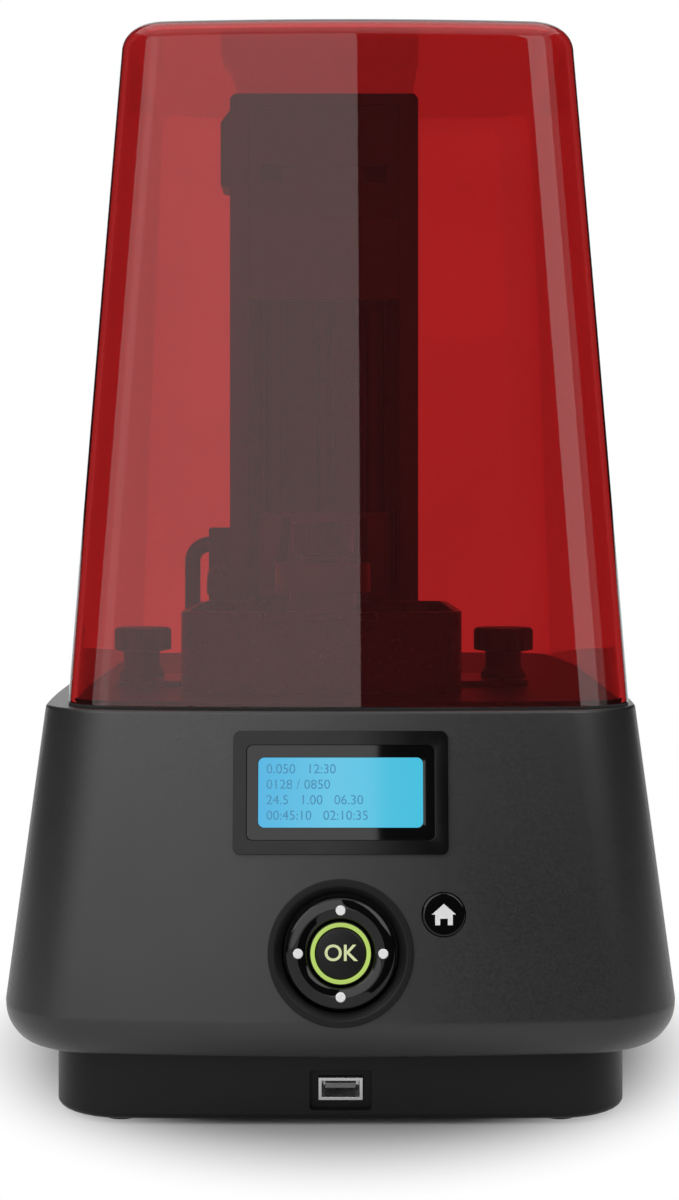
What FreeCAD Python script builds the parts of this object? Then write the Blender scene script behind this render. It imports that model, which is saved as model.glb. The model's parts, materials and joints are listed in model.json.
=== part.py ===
import FreeCAD
import Part
import math
import os
from FreeCAD import Vector

# Desktop resin printer: a see-through hood lifts off a moulded base that carries a resin tank,
# a lift column with its build platform, a lit display and a keypad.
# Millimetres, +Z up, front towards -Y, origin on the table under the middle of the base.

# Whole object
width = 265.0
depth = 337.0
height = 430.0
running_gap = 0.05
fit_gap = 0.2
slide_gap = 0.3

# Base housing: walls that bow outwards, lean inwards and turn under at a round shoulder
wall = 3.0
shoulder_z = 43.0
shoulder_drop = 15.0
shoulder_r = 20.0
rim_z = 153.5
rim_in_side = 14.5
rim_in_front = 12.9
rim_flange = 20.0
side_bow = 1500.0
front_bow = 800.0
base_corner = 26.0
round_steps = 4

# Tray under the housing, its feet and screws
foot_height = 2.0
foot_r = 8.0
foot_x = 82.0
foot_y = 136.0
tray_half_w = 111.0
tray_half_d = 151.0
tray_corner = 24.0
tray_bow = 2500.0
tray_flange = 18.0
boss_x = 97.0
boss_y = 100.0
boss_r = 5.0
screw_r = 1.75
screw_head_r = 3.4
screw_head_t = 2.4

# Socket for a memory stick in the tray's front
usb_z = 13.3
usb_w = 16.4
usb_h = 8.3
usb_depth = 17.0
usb_sheet = 1.2
usb_pocket_w = 22.9
usb_pocket_h = 14.8
usb_pocket_d = 4.0
usb_tongue_w = 11.4
usb_tongue_t = 2.0

# Hood and the gasket that it stands on
hood_ledge = 5.6
hood_shift = 3.0
hood_wall = 3.0
hood_corner = 18.0
hood_round = 10.0
hood_top_half_w = 95.7
hood_top_front = 79.0
hood_top_rear = 122.0
gasket_t = 1.0
gasket_in = 0.3

# Deck inside the hood
deck_t = 2.5
deck_gap = 0.8
deck_lip = 6.0
deck_lip_t = 3.0
opening_corner = 12.0

# Display
lcd_z = 124.2
bezel_w = 78.5
bezel_h = 44.8
bezel_corner = 2.6
bezel_proud = 0.8
bezel_step_w = 68.6
bezel_step_h = 34.5
bezel_step = 0.5
plug_w = 73.0
plug_h = 39.0
screen_w = 60.1
screen_h = 25.3
screen_corner = 2.2
screen_set = 0.9
module_w = 70.0
module_h = 36.0
module_t = 6.0
module_board_w = 87.0
module_board_h = 46.0
board_t = 1.6

# Keypad
key_z = 67.0
dish_r = 26.4
dish_cup_r = 24.3
dish_mouth_r = 24.0
dish_well_r = 21.2
dish_rim = 0.8
dish_slope = 1.6
dish_depth = 9.0
dish_floor = 1.5
nav_r = 19.9
nav_hole_r = 12.2
nav_base = 3.8
nav_edge_top = 1.2
nav_mid_top = 1.6
nav_round = 1.0
pivot_r = 15.0
pivot_pin_r = 1.5
gimbal_in_r = 13.0
gimbal_out_r = 18.0
gimbal_t = 1.2
gimbal_height = 1.8
dot_r = 1.8
dot_radius = 15.4
dot_proud = 0.3
dot_deep = 0.9
light_out_r = 11.4
light_in_r = 9.3
light_t = 1.4
ok_skirt = 3.5
ok_dome = 0.8
stem_r = 3.0
stem_end = 2.2
board_gap = 2.5
home_x = 37.4
home_z = 80.5
home_r = 7.9
home_flange = 1.5
home_top = 0.7
home_dome = 0.5
home_stem_r = 2.0
home_stem = 5.0
key_board_w = 100.0
key_board_h = 56.0
key_board_x = 8.0
key_board_y = 3.0

# Back: panel, mains inlet, switch and fan
rear_z = 76.0
rear_w = 176.0
rear_h = 70.0
rear_corner = 6.0
rear_flange = 4.0
rear_flange_t = 2.5
inlet_in = 28.0
inlet_w = 27.0
inlet_h = 20.0
inlet_depth = 20.0
inlet_flange = 2.0
inlet_flange_t = 1.6
inlet_rim = 1.6
pin_w = 2.0
pin_h = 5.0
pin_length = 13.0
pin_pitch = 7.0
pin_rise = 2.0
switch_pitch = 33.0
switch_w = 13.0
switch_h = 19.0
switch_depth = 17.0
switch_frame = 1.2
switch_flange_t = 1.5
rocker_pivot = 8.0
rocker_tilt = 10.0
fan_in = 40.0
fan_size = 60.0
fan_t = 15.0
fan_bore_r = 28.5
fan_hub_r = 13.0
fan_tip_gap = 0.8
fan_blades = 7
fan_pitch = 35.0
fan_blade_t = 1.4
fan_strut_w = 4.0
fan_back_t = 2.5
fan_pin_r = 1.5
fan_hole = 25.0
fan_head_t = 1.6
slot_w = 4.0
slot_pitch = 8.0
slot_count = 7

# Tank bay: everything on the deck is lined up on bay_x
bay_x = -7.5
tank_y = -54.0
tank_d = 120.0
tank_h = 32.0
tank_wall = 3.0
tank_floor = 3.0
tank_corner = 10.0
ear_t = 2.3
ear_reach = 30.0
ear_d = 44.0
lip_w = 44.0
lip_d = 9.0
lip_t = 3.0
light_in = 13.0
light_d = 92.0
film_t = 1.5
film_seat = 3.0
glass_t = 3.0
glass_seat = 5.0
knob_room = 10.85
knob_reach = 20.7
knob_stud_r = 3.0
knob_stud_deep = 2.0
knob_foot_r = 9.5
knob_stem_r = 7.5
knob_cap_r = 12.35
knob_foot_t = 1.5
knob_edge = 1.0
knob_neck = 11.5
knob_cap_t = 9.0
flute_r = 1.6
flute_count = 12

# Lift column
column_y = 27.0
column_w = 86.7
column_d = 60.0
column_wall = 5.0
column_side = 8.7
column_headroom = 9.0
column_chamfer = 2.0
foot_w = 112.0
foot_d = 70.0
foot_t = 6.0
foot_screw_x = 49.0
foot_screw_y = 27.0
head_h = 57.0
head_set = 2.0
head_t = 2.5
head_slot_w = 58.0
head_slot_h = 8.0
head_slot_up = 16.5
cover_h = 38.0
cover_t = 3.0
cable_w = 5.3
cable_d = 25.0
cable_drop = 1.0
cable_slope = 7.0
cable_chamfer = 1.5
cable_h = 38.0
rail_screw_x = 30.0
rail_screw_drop = 43.0
rail_head_r = 2.6
rail_head_t = 2.2
axis_y = 55.0
rod_x = 24.0
rod_r = 5.0
rod_seat = 3.0
bearing_r = 8.0
bearing_t = 4.0
motor_plate_drop = 49.0
motor_plate_t = 4.0
motor_size = 42.3
motor_h = 38.0
motor_corner = 4.0
pilot_r = 11.0
pilot_t = 2.0
lead_r = 4.0
lead_into_motor = 12.0

# Carriage and build platform, stored low in the tank
plate_lift = 2.0
plate_side_gap = 6.0
plate_end_gap = 11.0
plate_t = 10.0
plate_corner = 4.0
plate_boss_r = 14.0
plate_rib_t = 4.0
plate_rib_h = 8.0
arm_clear = 6.0
arm_t = 12.0
arm_w = 40.0
arm_flange_w = 56.0
arm_flange_t = 6.0
arm_flange_h = 32.0
gusset_t = 4.0
gusset_reach = 36.0
carriage_w = 66.0
carriage_d = 36.0
carriage_h = 40.0
carriage_drop = 6.0
bush_r = 7.0
bush_length = 15.0
nut_r = 7.0
nut_length = 25.0
nut_flange_r = 11.0
nut_flange_t = 3.5
clamp_stud_r = 4.0
clamp_stud_deep = 17.0
clamp_knob_r = 13.0
clamp_knob_h = 17.0
clamp_neck_r = 9.0
clamp_neck = 4.0

# Resin feed at the left of the column
pipe_r = 3.7
pipe_bore = 2.4
pipe_x = -70.3
pipe_y = 57.0
pipe_top = 213.0
pipe_bend = 8.0
pipe_deep = 8.0
feed_low = 184.0
feed_high = 221.0
feed_d = 25.0
feed_chamfer = 1.0
nozzle_r = 3.0
nozzle_bore = 2.0
nozzle_z = 200.0
nozzle_bend = 6.0
nozzle_y = -1.0
nozzle_tip = 191.0
pump_size = 38.0
pump_gap = 5.5
pump_h = 42.0
pump_head_r = 16.0
pump_head_t = 10.0

# Light engine and electrics inside the base
optics_z = 60.0
optics_t = 4.0
optics_w = 68.0
optics_front = -95.0
optics_rear = 100.0
leg_r = 5.0
leg_inset = 7.0
beam_z = 92.0
mirror_w = 60.0
mirror_l = 52.0
mirror_t = 3.0
engine_w = 60.0
engine_front = 15.0
engine_l = 80.0
engine_h = 48.0
fin_count = 6
fin_gap = 5.0
fin_deep = 10.0
lens_r = 15.0
lens_l = 28.0
supply_x = -60.0
supply_y = 25.0
supply_w = 42.0
supply_l = 110.0
supply_h = 36.0
vent_count = 8
vent_w = 4.0
vent_deep = 1.5
board_x = 61.0
board_y = 5.0
board_w = 50.0
board_l = 110.0
board_post = 6.0
board_post_r = 3.0
board_edge = 1.0
chip_h = 2.5
sink_h = 9.0

# Places worked out from the sizes above
lip_z = shoulder_z - shoulder_drop
rim_half_w = width / 2 - rim_in_side
rim_half_d = depth / 2 - rim_in_front
front_lean = rim_in_front / (rim_z - shoulder_z)
hood_z = rim_z + gasket_t
tray_top = foot_height + wall
deck_z = rim_z + deck_t
tank_rim = deck_z + tank_h
knob_x = rim_half_w - hood_ledge - hood_wall - knob_room - knob_cap_r - (hood_shift - bay_x)
tank_w = 2 * (knob_x - knob_reach)
light_w = tank_w - 2 * light_in
plate_w = tank_w - 2 * tank_wall - 2 * plate_side_gap
plate_d = tank_d - 2 * tank_wall - 2 * plate_end_gap
ear_z = deck_z + ear_t
plate_z = deck_z + tank_floor + plate_lift
arm_z = tank_rim + arm_clear
arm_top = arm_z + arm_t
carriage_z = arm_z - carriage_drop
carriage_front = axis_y - carriage_d / 2
foot_z = deck_z + foot_t
column_back = column_y + column_d
column_top = height - column_headroom
column_mouth = column_w / 2 - column_side
head_bottom = column_top - head_h
cover_bottom = head_bottom - cover_h
rail_screw_z = cover_bottom - rail_screw_drop
motor_plate_z = column_top - motor_plate_drop
nav_pivot = -dish_depth + gimbal_height
pump_x = pump_size / 2 + pump_gap + deck_lip_t + fit_gap + rim_flange - rim_half_w
inlet_x = inlet_in - rear_w / 2
switch_x = inlet_x + switch_pitch
fan_x = rear_w / 2 - fan_in
key_board_h0 = -dish_depth - dish_floor - board_gap
front = -1
rear = 1


def outline(half_w, half_d, corner, z, mid=(0.0, 0.0), bows=(side_bow, front_bow)):
    """Wire of four bowed walls joined by round corners, at height z."""
    side_mid = Vector(half_w - bows[0], 0, 0)
    wall_mid = Vector(0, half_d - bows[1], 0)
    towards = wall_mid - side_mid
    span = towards.Length
    towards.normalize()
    across = Vector(-towards.y, towards.x, 0)
    side_r = bows[0] - corner
    wall_r = bows[1] - corner
    along = (side_r ** 2 - wall_r ** 2 + span ** 2) / (2 * span)
    turn = side_mid + towards * along + across * math.sqrt(side_r ** 2 - along ** 2)
    side_way = (turn - side_mid).normalize()
    wall_way = (turn - wall_mid).normalize()
    side_end = side_mid + side_way * bows[0]
    wall_end = wall_mid + wall_way * bows[1]
    corner_mid = turn + (side_way + wall_way).normalize() * corner

    def spot(point, x_sign, y_sign):
        return Vector(mid[0] + x_sign * point.x, mid[1] + y_sign * point.y, z)

    edges = []
    for x_sign, y_sign in ((1, 1), (-1, -1)):
        side = [spot(side_end, x_sign, -y_sign), spot(Vector(half_w, 0, 0), x_sign, 1),
                spot(side_end, x_sign, y_sign)]
        first = [side[2], spot(corner_mid, x_sign, y_sign), spot(wall_end, x_sign, y_sign)]
        end = [first[2], spot(Vector(0, half_d, 0), 1, y_sign), spot(wall_end, -x_sign, y_sign)]
        last = [end[2], spot(corner_mid, -x_sign, y_sign), spot(side_end, -x_sign, y_sign)]
        edges += [Part.Arc(*points).toShape() for points in (side, first, end, last)]
    return Part.Wire(edges)


def prism(wire, rise):
    return Part.Face(wire).extrude(Vector(0, 0, rise))


def loft(wires):
    return Part.makeLoft(wires, True, True)


def block(x0, x1, y0, y1, z0, z1):
    return Part.makeBox(x1 - x0, y1 - y0, z1 - z0, Vector(x0, y0, z0))


def pad(w, h, low, high, corner=0.0, at=(0.0, 0.0)):
    """Rounded rectangle round a point of the XY plane, from low to high."""
    shape = block(at[0] - w / 2, at[0] + w / 2, at[1] - h / 2, at[1] + h / 2, low, high)
    if corner:
        upright = [e for e in shape.Edges if e.BoundBox.ZLength > (high - low) / 2]
        shape = shape.makeFillet(corner, upright)
    return shape


def rod(r, low, high, at=(0.0, 0.0)):
    return Part.makeCylinder(r, high - low, Vector(at[0], at[1], low))


def tube(r_out, r_in, low, high, at=(0.0, 0.0)):
    return rod(r_out, low, high, at).cut(rod(r_in, low, high, at))


def turned(profile, at=(0.0, 0.0)):
    """Solid turned about a vertical axis from (radius, height) points."""
    points = [Vector(r, 0, z) for r, z in profile]
    face = Part.Face(Part.makePolygon(points + points[:1]))
    shape = face.revolve(Vector(0, 0, 0), Vector(0, 0, 1), 360)
    if shape.Volume < 0:
        shape.reverse()
    shape.translate(Vector(at[0], at[1], 0))
    return shape


def joined(*shapes):
    return shapes[0].multiFuse(list(shapes[1:])).removeSplitter()


def group(shapes):
    """Separate like solids that share one node."""
    return Part.makeCompound(shapes)


def placed(shape, frame):
    moved = shape.copy()
    moved.Placement = frame.multiply(shape.Placement)
    return moved


def corners(dx, dy, mid=(0.0, 0.0)):
    return [(mid[0] + sx * dx, mid[1] + sy * dy) for sx in (-1, 1) for sy in (-1, 1)]


def bow_sag(x):
    """How far the front or back wall falls back at x from its middle."""
    return front_bow - math.sqrt(front_bow ** 2 - x ** 2)


def wall_frame(x, z, side):
    """Frame on the leaning front or back wall: local Z outwards, local Y up the wall."""
    half_d = depth / 2 - front_lean * (z - shoulder_z)
    origin = Vector(x, side * (half_d - bow_sag(x)), z)
    out = Vector(x / (front_bow - bow_sag(x)), side, front_lean).normalize()
    up = Vector(0, -side * front_lean, 1).normalize()
    over = up.cross(out)
    return FreeCAD.Placement(FreeCAD.Matrix(
        over.x, up.x, out.x, origin.x,
        over.y, up.y, out.y, origin.y,
        over.z, up.z, out.z, origin.z,
        0, 0, 0, 1))


def base_section(z, grow=0.0):
    """Outline of the base at height z, grown by an even skin."""
    if z < shoulder_z:
        in_side = shoulder_r - math.sqrt(shoulder_r ** 2 - (shoulder_z - z) ** 2)
        in_front = in_side
    else:
        share = (z - shoulder_z) / (rim_z - shoulder_z)
        in_side = rim_in_side * share
        in_front = rim_in_front * share
    return outline(width / 2 - in_side + grow, depth / 2 - in_front + grow, base_corner + grow, z)


def rim_outline(inset, z, mid_x=0.0, corner=None):
    """Outline inside the top rim of the base."""
    if corner is None:
        corner = base_corner - inset
    return outline(rim_half_w - inset, rim_half_d - inset, corner, z, (mid_x, 0.0))


def wall_skin(out, back):
    """Skin of the leaning walls between two distances from their face."""
    outer = loft([base_section(shoulder_z, out), base_section(rim_z, out)])
    inner = loft([base_section(shoulder_z, back), base_section(rim_z, back)])
    return outer.cut(inner)


def wall_piece(out, back, w, h, corner, frame):
    """Piece of that skin inside a rounded rectangle on the wall."""
    reach = 4 * wall + bow_sag(w / 2)
    return wall_skin(out, back).common(placed(pad(w, h, -reach, reach, corner), frame))


lcd_frame = wall_frame(0, lcd_z, front)
key_frame = wall_frame(0, key_z, front)
home_frame = wall_frame(home_x, home_z, front)
rear_frame = wall_frame(0, rear_z, rear)
inlet_frame = wall_frame(inlet_x, rear_z, rear)
switch_frame_at = wall_frame(switch_x, rear_z, rear)
fan_frame = wall_frame(fan_x, rear_z, rear)
fan_face = -(wall + rear_flange_t + bow_sag(fan_size / 2) + fit_gap)


def base_shell():
    """Moulded housing: bowed leaning walls, round shoulder, rim flange and cut-outs."""
    def levels(low, high, grow):
        turn = [shoulder_z - shoulder_drop * (1 - s / round_steps) for s in range(round_steps)]
        return [base_section(z, grow) for z in [low] + [z for z in turn if z > low] + [shoulder_z, high]]

    shell = loft(levels(lip_z, rim_z, 0.0))
    shell = shell.cut(loft(levels(lip_z + wall, rim_z - wall, -wall)))
    shell = shell.cut(prism(rim_outline(rim_flange, rim_z - 2 * wall, 0.0, opening_corner), 3 * wall))
    floor = outline(tray_half_w - tray_flange, tray_half_d - tray_flange, opening_corner, lip_z - wall)
    shell = shell.cut(prism(floor, 3 * wall))
    reach = 6 * wall
    cuts = [placed(pad(plug_w, plug_h, -reach, reach, bezel_corner), lcd_frame)]
    cuts.append(placed(rod(dish_cup_r + fit_gap, -reach, reach), key_frame))
    cuts.append(placed(rod(home_r + fit_gap, -reach, reach), home_frame))
    cuts.append(placed(pad(rear_w, rear_h, -reach, reach, rear_corner), rear_frame))
    for at in corners(boss_x, boss_y):
        cuts.append(rod(screw_r + running_gap, lip_z - wall, lip_z + 2 * wall, at))
    return shell.cut(Part.makeCompound(cuts))


def tray_outline(inset, z):
    return outline(tray_half_w - inset, tray_half_d - inset, tray_corner - inset, z,
                   bows=(tray_bow, tray_bow))


def usb_pocket():
    """Moulded pocket behind the tray's front wall, open to the front."""
    y0 = -tray_half_d + wall / 2
    y1 = -tray_half_d + wall + usb_pocket_d
    half_w = usb_pocket_w / 2
    outer = block(-half_w - wall, half_w + wall, y0, y1, tray_top, lip_z)
    half_h = usb_pocket_h / 2
    mouth = block(-half_w, half_w, y0 - wall, y1 - wall, usb_z - half_h, usb_z + half_h)
    return outer, mouth


def base_tray():
    """Black tray that closes the base, with screw bosses and the socket's pocket."""
    tray = prism(tray_outline(0, foot_height), lip_z - foot_height)
    tray = tray.cut(prism(tray_outline(wall, tray_top), lip_z))
    pocket, mouth = usb_pocket()
    posts = [rod(boss_r, foot_height, lip_z, at) for at in corners(boss_x, boss_y)]
    posts += [rod(board_post_r, foot_height, tray_top + board_post, at) for at in board_corners()]
    tray = joined(tray, pocket, *posts)
    cuts = [mouth, block(-usb_w / 2 - fit_gap, usb_w / 2 + fit_gap, -tray_half_d, -tray_half_d + usb_pocket_w,
                         usb_z - usb_h / 2 - fit_gap, usb_z + usb_h / 2 + fit_gap)]
    for at in corners(boss_x, boss_y):
        cuts.append(rod(screw_r + fit_gap, 0, lip_z + wall, at))
        cuts.append(rod(screw_head_r + fit_gap, 0, foot_height + screw_head_t, at))
    return tray.cut(Part.makeCompound(cuts))


def rubber_feet():
    return group([turned([(0, 0), (foot_r - foot_height / 2, 0), (foot_r, foot_height / 2),
                          (foot_r, foot_height), (0, foot_height)], at) for at in corners(foot_x, foot_y)])


def tray_screws():
    """Four screws up through the tray's bosses into the housing."""
    head = foot_height + screw_head_t
    profile = [(0, foot_height), (screw_head_r, foot_height), (screw_head_r, head), (screw_r, head),
               (screw_r, lip_z + wall), (0, lip_z + wall)]
    return group([turned(profile, at) for at in corners(boss_x, boss_y)])


def usb_place():
    return -tray_half_d + wall / 2, usb_z - usb_h / 2, usb_z + usb_h / 2


def usb_port():
    """Folded metal socket shell, open to the front."""
    y0, z0, z1 = usb_place()
    shell = block(-usb_w / 2, usb_w / 2, y0, y0 + usb_depth, z0, z1)
    mouth = block(-usb_w / 2 + usb_sheet, usb_w / 2 - usb_sheet, y0, y0 + usb_depth - usb_sheet,
                  z0 + usb_sheet, z1 - usb_sheet)
    return shell.cut(mouth)


def usb_tongue():
    y0, z0, z1 = usb_place()
    top = z1 - usb_sheet - usb_tongue_t / 2
    return block(-usb_tongue_w / 2, usb_tongue_w / 2, y0 + usb_sheet, y0 + usb_depth - usb_sheet,
                 top - usb_tongue_t, top)


def hood_section(z, grow=0.0):
    share = (z - hood_z) / (height - hood_z)
    half_w = (rim_half_w - hood_ledge) * (1 - share) + hood_top_half_w * share
    half_d = (rim_half_d - hood_ledge) * (1 - share) + (hood_top_front + hood_top_rear) / 2 * share
    mid_y = share * (hood_top_rear - hood_top_front) / 2
    return outline(half_w + grow, half_d + grow, hood_corner + grow, z, (hood_shift, mid_y))


def hood_form(skin):
    """Solid form of the hood, set in by an even skin, with a round top edge."""
    top = height - skin
    turn = hood_round - skin
    wires = [hood_section(hood_z, -skin)]
    for step in range(round_steps + 1):
        angle = math.pi / 2 * step / round_steps
        wires.append(hood_section(top - turn + turn * math.sin(angle), -skin - turn * (1 - math.cos(angle))))
    return loft(wires)


def hood():
    return hood_form(0.0).cut(hood_form(hood_wall))


def hood_gasket():
    ring = prism(rim_outline(hood_ledge + gasket_in, rim_z, hood_shift), gasket_t)
    return ring.cut(prism(rim_outline(hood_ledge + hood_wall, rim_z, hood_shift), gasket_t))


def deck_plate():
    """Plate on the rim flange, with a lip down into the opening."""
    edge = hood_ledge + hood_wall + deck_gap
    plate = prism(rim_outline(edge, rim_z, hood_shift), deck_t)
    lip = prism(rim_outline(rim_flange + fit_gap, rim_z - deck_lip, 0.0, opening_corner), deck_lip)
    inside = rim_outline(rim_flange + fit_gap + deck_lip_t, rim_z - deck_lip, 0.0, opening_corner)
    lip = lip.cut(prism(inside, deck_lip))
    deck = joined(plate, lip)
    cuts = [pad(light_w, light_d, rim_z - deck_lip, deck_z + wall, tank_corner / 2, (bay_x, tank_y))]
    for at in knob_spots():
        cuts.append(rod(knob_stud_r + running_gap, rim_z - deck_lip, deck_z + wall, at))
    cuts.append(rod(pipe_r + running_gap, rim_z - deck_lip, deck_z + wall, (pipe_x, pipe_y)))
    for at in foot_screw_spots():
        cuts.append(rod(screw_r + running_gap, rim_z - deck_lip, deck_z + wall, at))
    return deck.cut(Part.makeCompound(cuts))


def exposure_window():
    """Glass bonded under the deck, below the tank."""
    return pad(light_w + 2 * glass_seat, light_d + 2 * glass_seat, rim_z - glass_t, rim_z,
               tank_corner / 2, (bay_x, tank_y))


def lcd_bezel():
    """Gloss frame that follows the bowed wall, with a step round the screen."""
    frame = wall_piece(bezel_proud, 0.0, bezel_w, bezel_h, bezel_corner, lcd_frame)
    plug = wall_piece(0.0, -wall, plug_w - 2 * fit_gap, plug_h - 2 * fit_gap, bezel_corner, lcd_frame)
    step = wall_piece(bezel_proud + wall, bezel_proud - bezel_step, bezel_step_w, bezel_step_h,
                      screen_corner, lcd_frame)
    reach = 6 * wall
    hole = pad(screen_w + 2 * fit_gap, screen_h + 2 * fit_gap, -reach, reach, screen_corner)
    return joined(frame, plug).cut(step).cut(placed(hole, lcd_frame))


def module_face():
    return -(wall + bow_sag(module_w / 2) + fit_gap)


def lcd_screen():
    return placed(pad(screen_w, screen_h, module_face(), -screen_set, screen_corner), lcd_frame)


def lcd_module():
    """Display can on its circuit board, behind the wall."""
    back = module_face() - module_t
    can = pad(module_w, module_h, back, module_face(), screen_corner)
    board = pad(module_board_w, module_board_h, back - board_t, back, screen_corner)
    for at in corners(module_board_w / 2 - 3 * screw_r, module_board_h / 2 - 3 * screw_r):
        board = board.cut(rod(screw_r, back - 2 * board_t, back + board_t, at))
    return placed(joined(can, board), lcd_frame)


def keypad_dish():
    """Round cup with a sloped mouth, a middle tube for the button and two rocker posts."""
    back = -dish_depth - dish_floor
    cup = turned([(dish_r, 0), (dish_r, dish_rim / 2), (dish_r - dish_rim / 2, dish_rim),
                  (dish_mouth_r, dish_rim), (dish_well_r, -dish_slope), (dish_well_r, -dish_depth),
                  (light_out_r, -dish_depth),
                  (light_out_r, 0), (light_in_r, 0), (light_in_r, -dish_depth),
                  (stem_r + 2 * running_gap, -dish_depth), (stem_r + 2 * running_gap, back),
                  (dish_cup_r, back), (dish_cup_r, 0)])
    top = nav_pivot - fit_gap
    posts = [rod(pivot_pin_r, -dish_depth - dish_floor / 2, top, (s * pivot_r, 0)) for s in (-1, 1)]
    posts += [rod(pivot_pin_r, key_board_h0, back + dish_floor / 2, (s * pivot_r, pivot_r)) for s in (-1, 1)]
    posts.append(rod(pivot_pin_r, key_board_h0, back + dish_floor / 2, (0, -pivot_r)))
    return placed(joined(cup, *posts), key_frame)


def nav_gimbal():
    """Ring that rocks on the dish's two posts and carries the direction ring."""
    return placed(tube(gimbal_out_r, gimbal_in_r, nav_pivot, nav_pivot + gimbal_t), key_frame)


def nav_top(radius):
    """Height of the direction ring's top at a radius."""
    share = (radius - nav_hole_r - nav_round) / (nav_r - nav_hole_r - 2 * nav_round)
    return nav_mid_top + (nav_edge_top - nav_mid_top) * share


def dot_spots():
    return [(dot_radius, 0), (-dot_radius, 0), (0, dot_radius), (0, -dot_radius)]


def nav_ring():
    """Tilting direction ring with sockets for its dots and two feet on the gimbal."""
    ring = turned([(nav_hole_r, -nav_base), (nav_r - nav_round / 2, -nav_base),
                   (nav_r, -nav_base + nav_round / 2), (nav_r, nav_edge_top - nav_round),
                   (nav_r - nav_round, nav_edge_top),
                   (nav_hole_r + nav_round, nav_mid_top), (nav_hole_r, nav_mid_top - nav_round)])
    foot = nav_pivot + gimbal_t + fit_gap
    feet = [rod(pivot_pin_r, foot, -nav_base + nav_round, (0, s * pivot_r)) for s in (-1, 1)]
    low = nav_top(dot_radius) - dot_deep
    sockets = [rod(dot_r + running_gap, low, nav_mid_top + wall, at) for at in dot_spots()]
    return placed(joined(ring, *feet).cut(Part.makeCompound(sockets)), key_frame)


def nav_dots():
    low = nav_top(dot_radius) - dot_deep
    high = nav_top(dot_radius) + dot_proud
    return group([placed(rod(dot_r, low, high, at), key_frame) for at in dot_spots()])


def ok_light_ring():
    ring = turned([(light_in_r, 0), (light_out_r, 0), (light_out_r, light_t / 2),
                   (light_out_r - light_t / 2, light_t), (light_in_r + light_t / 2, light_t),
                   (light_in_r, light_t / 2)])
    return placed(ring, key_frame)


def ok_button():
    """Domed middle button with a stem down to its switch."""
    r = light_in_r - fit_gap
    cap = turned([(0, -ok_skirt), (r, -ok_skirt), (r, light_t - ok_dome), (r - ok_dome, light_t),
                  (0, light_t + ok_dome / 2)])
    stem = rod(stem_r, key_board_h0 + stem_end, -ok_skirt + ok_dome)
    return placed(joined(cap, stem), key_frame)


def home_button():
    """Round button held behind the wall by its flange."""
    catch = -(wall + slide_gap + bow_sag(home_r + home_flange))
    cap = turned([(0, catch - home_flange), (home_r + home_flange, catch - home_flange),
                  (home_r + home_flange, catch), (home_r, catch), (home_r, home_top - home_dome),
                  (home_r - home_dome, home_top), (0, home_top + home_dome / 2)])
    stem = rod(home_stem_r, catch - home_flange - home_stem, catch)
    return placed(joined(cap, stem), home_frame)


def key_board():
    """Circuit board on the dish's back posts, behind both buttons."""
    board = pad(key_board_w, key_board_h, key_board_h0 - board_t, key_board_h0, screen_corner,
                (key_board_x, key_board_y))
    return placed(board, key_frame)


def fan_slots():
    """Upright vent slots that fill the fan's circle."""
    slots = []
    for step in range(slot_count):
        x = (step - (slot_count - 1) / 2) * slot_pitch
        length = 2 * math.sqrt(fan_bore_r ** 2 - (abs(x) + slot_w / 2) ** 2)
        slots.append(pad(slot_w, length, -4 * wall, 4 * wall, slot_w / 2 - running_gap, (x, 0)))
    return slots


def rear_panel():
    """Curved panel in the back opening, held by a flange inside the wall."""
    face = wall_piece(0.0, -wall, rear_w - 2 * fit_gap, rear_h - 2 * fit_gap, rear_corner, rear_frame)
    flange = wall_piece(-wall, -wall - rear_flange_t, rear_w + 2 * rear_flange, rear_h + 2 * rear_flange,
                        rear_corner, rear_frame)
    reach = 6 * wall
    cuts = [placed(pad(inlet_w + 2 * fit_gap, inlet_h + 2 * fit_gap, -reach, reach), inlet_frame),
            placed(pad(switch_w + 2 * fit_gap, switch_h + 2 * fit_gap, -reach, reach), switch_frame_at)]
    cuts += [placed(slot, fan_frame) for slot in fan_slots()]
    cuts += [placed(rod(screw_r + fit_gap, -reach, reach, at), fan_frame)
             for at in corners(fan_hole, fan_hole)]
    return joined(face, flange).cut(Part.makeCompound(cuts))


def power_inlet():
    """Mains inlet: flanged body with a socket cavity and three blades."""
    body = pad(inlet_w, inlet_h, -inlet_depth, 0)
    flange = pad(inlet_w + 2 * inlet_flange, inlet_h + 2 * inlet_flange, 0, inlet_flange_t, inlet_flange)
    cavity = pad(inlet_w - 2 * inlet_rim, inlet_h - 2 * inlet_rim, -inlet_depth + 2 * inlet_rim,
                 inlet_flange_t, inlet_rim)
    low = -inlet_depth + inlet_rim
    blades = [pad(pin_w, pin_h, low, low + pin_length, 0.0, (x, pin_rise if x == 0 else -pin_rise))
              for x in (-pin_pitch, 0, pin_pitch)]
    return placed(joined(joined(body, flange).cut(cavity), *blades), inlet_frame)


def switch_body():
    body = pad(switch_w, switch_h, -switch_depth, 0)
    flange = pad(switch_w + 2 * switch_frame, switch_h + 2 * switch_frame, 0, switch_flange_t, switch_frame)
    well = pad(switch_w - 2 * switch_frame, switch_h - 2 * switch_frame, -switch_depth + switch_frame,
               switch_flange_t)
    pin = Part.makeCylinder(stem_r / 2, switch_w - switch_frame,
                            Vector(-(switch_w - switch_frame) / 2, 0, -rocker_pivot), Vector(1, 0, 0))
    return placed(joined(joined(body, flange).cut(well), pin), switch_frame_at)


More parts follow.
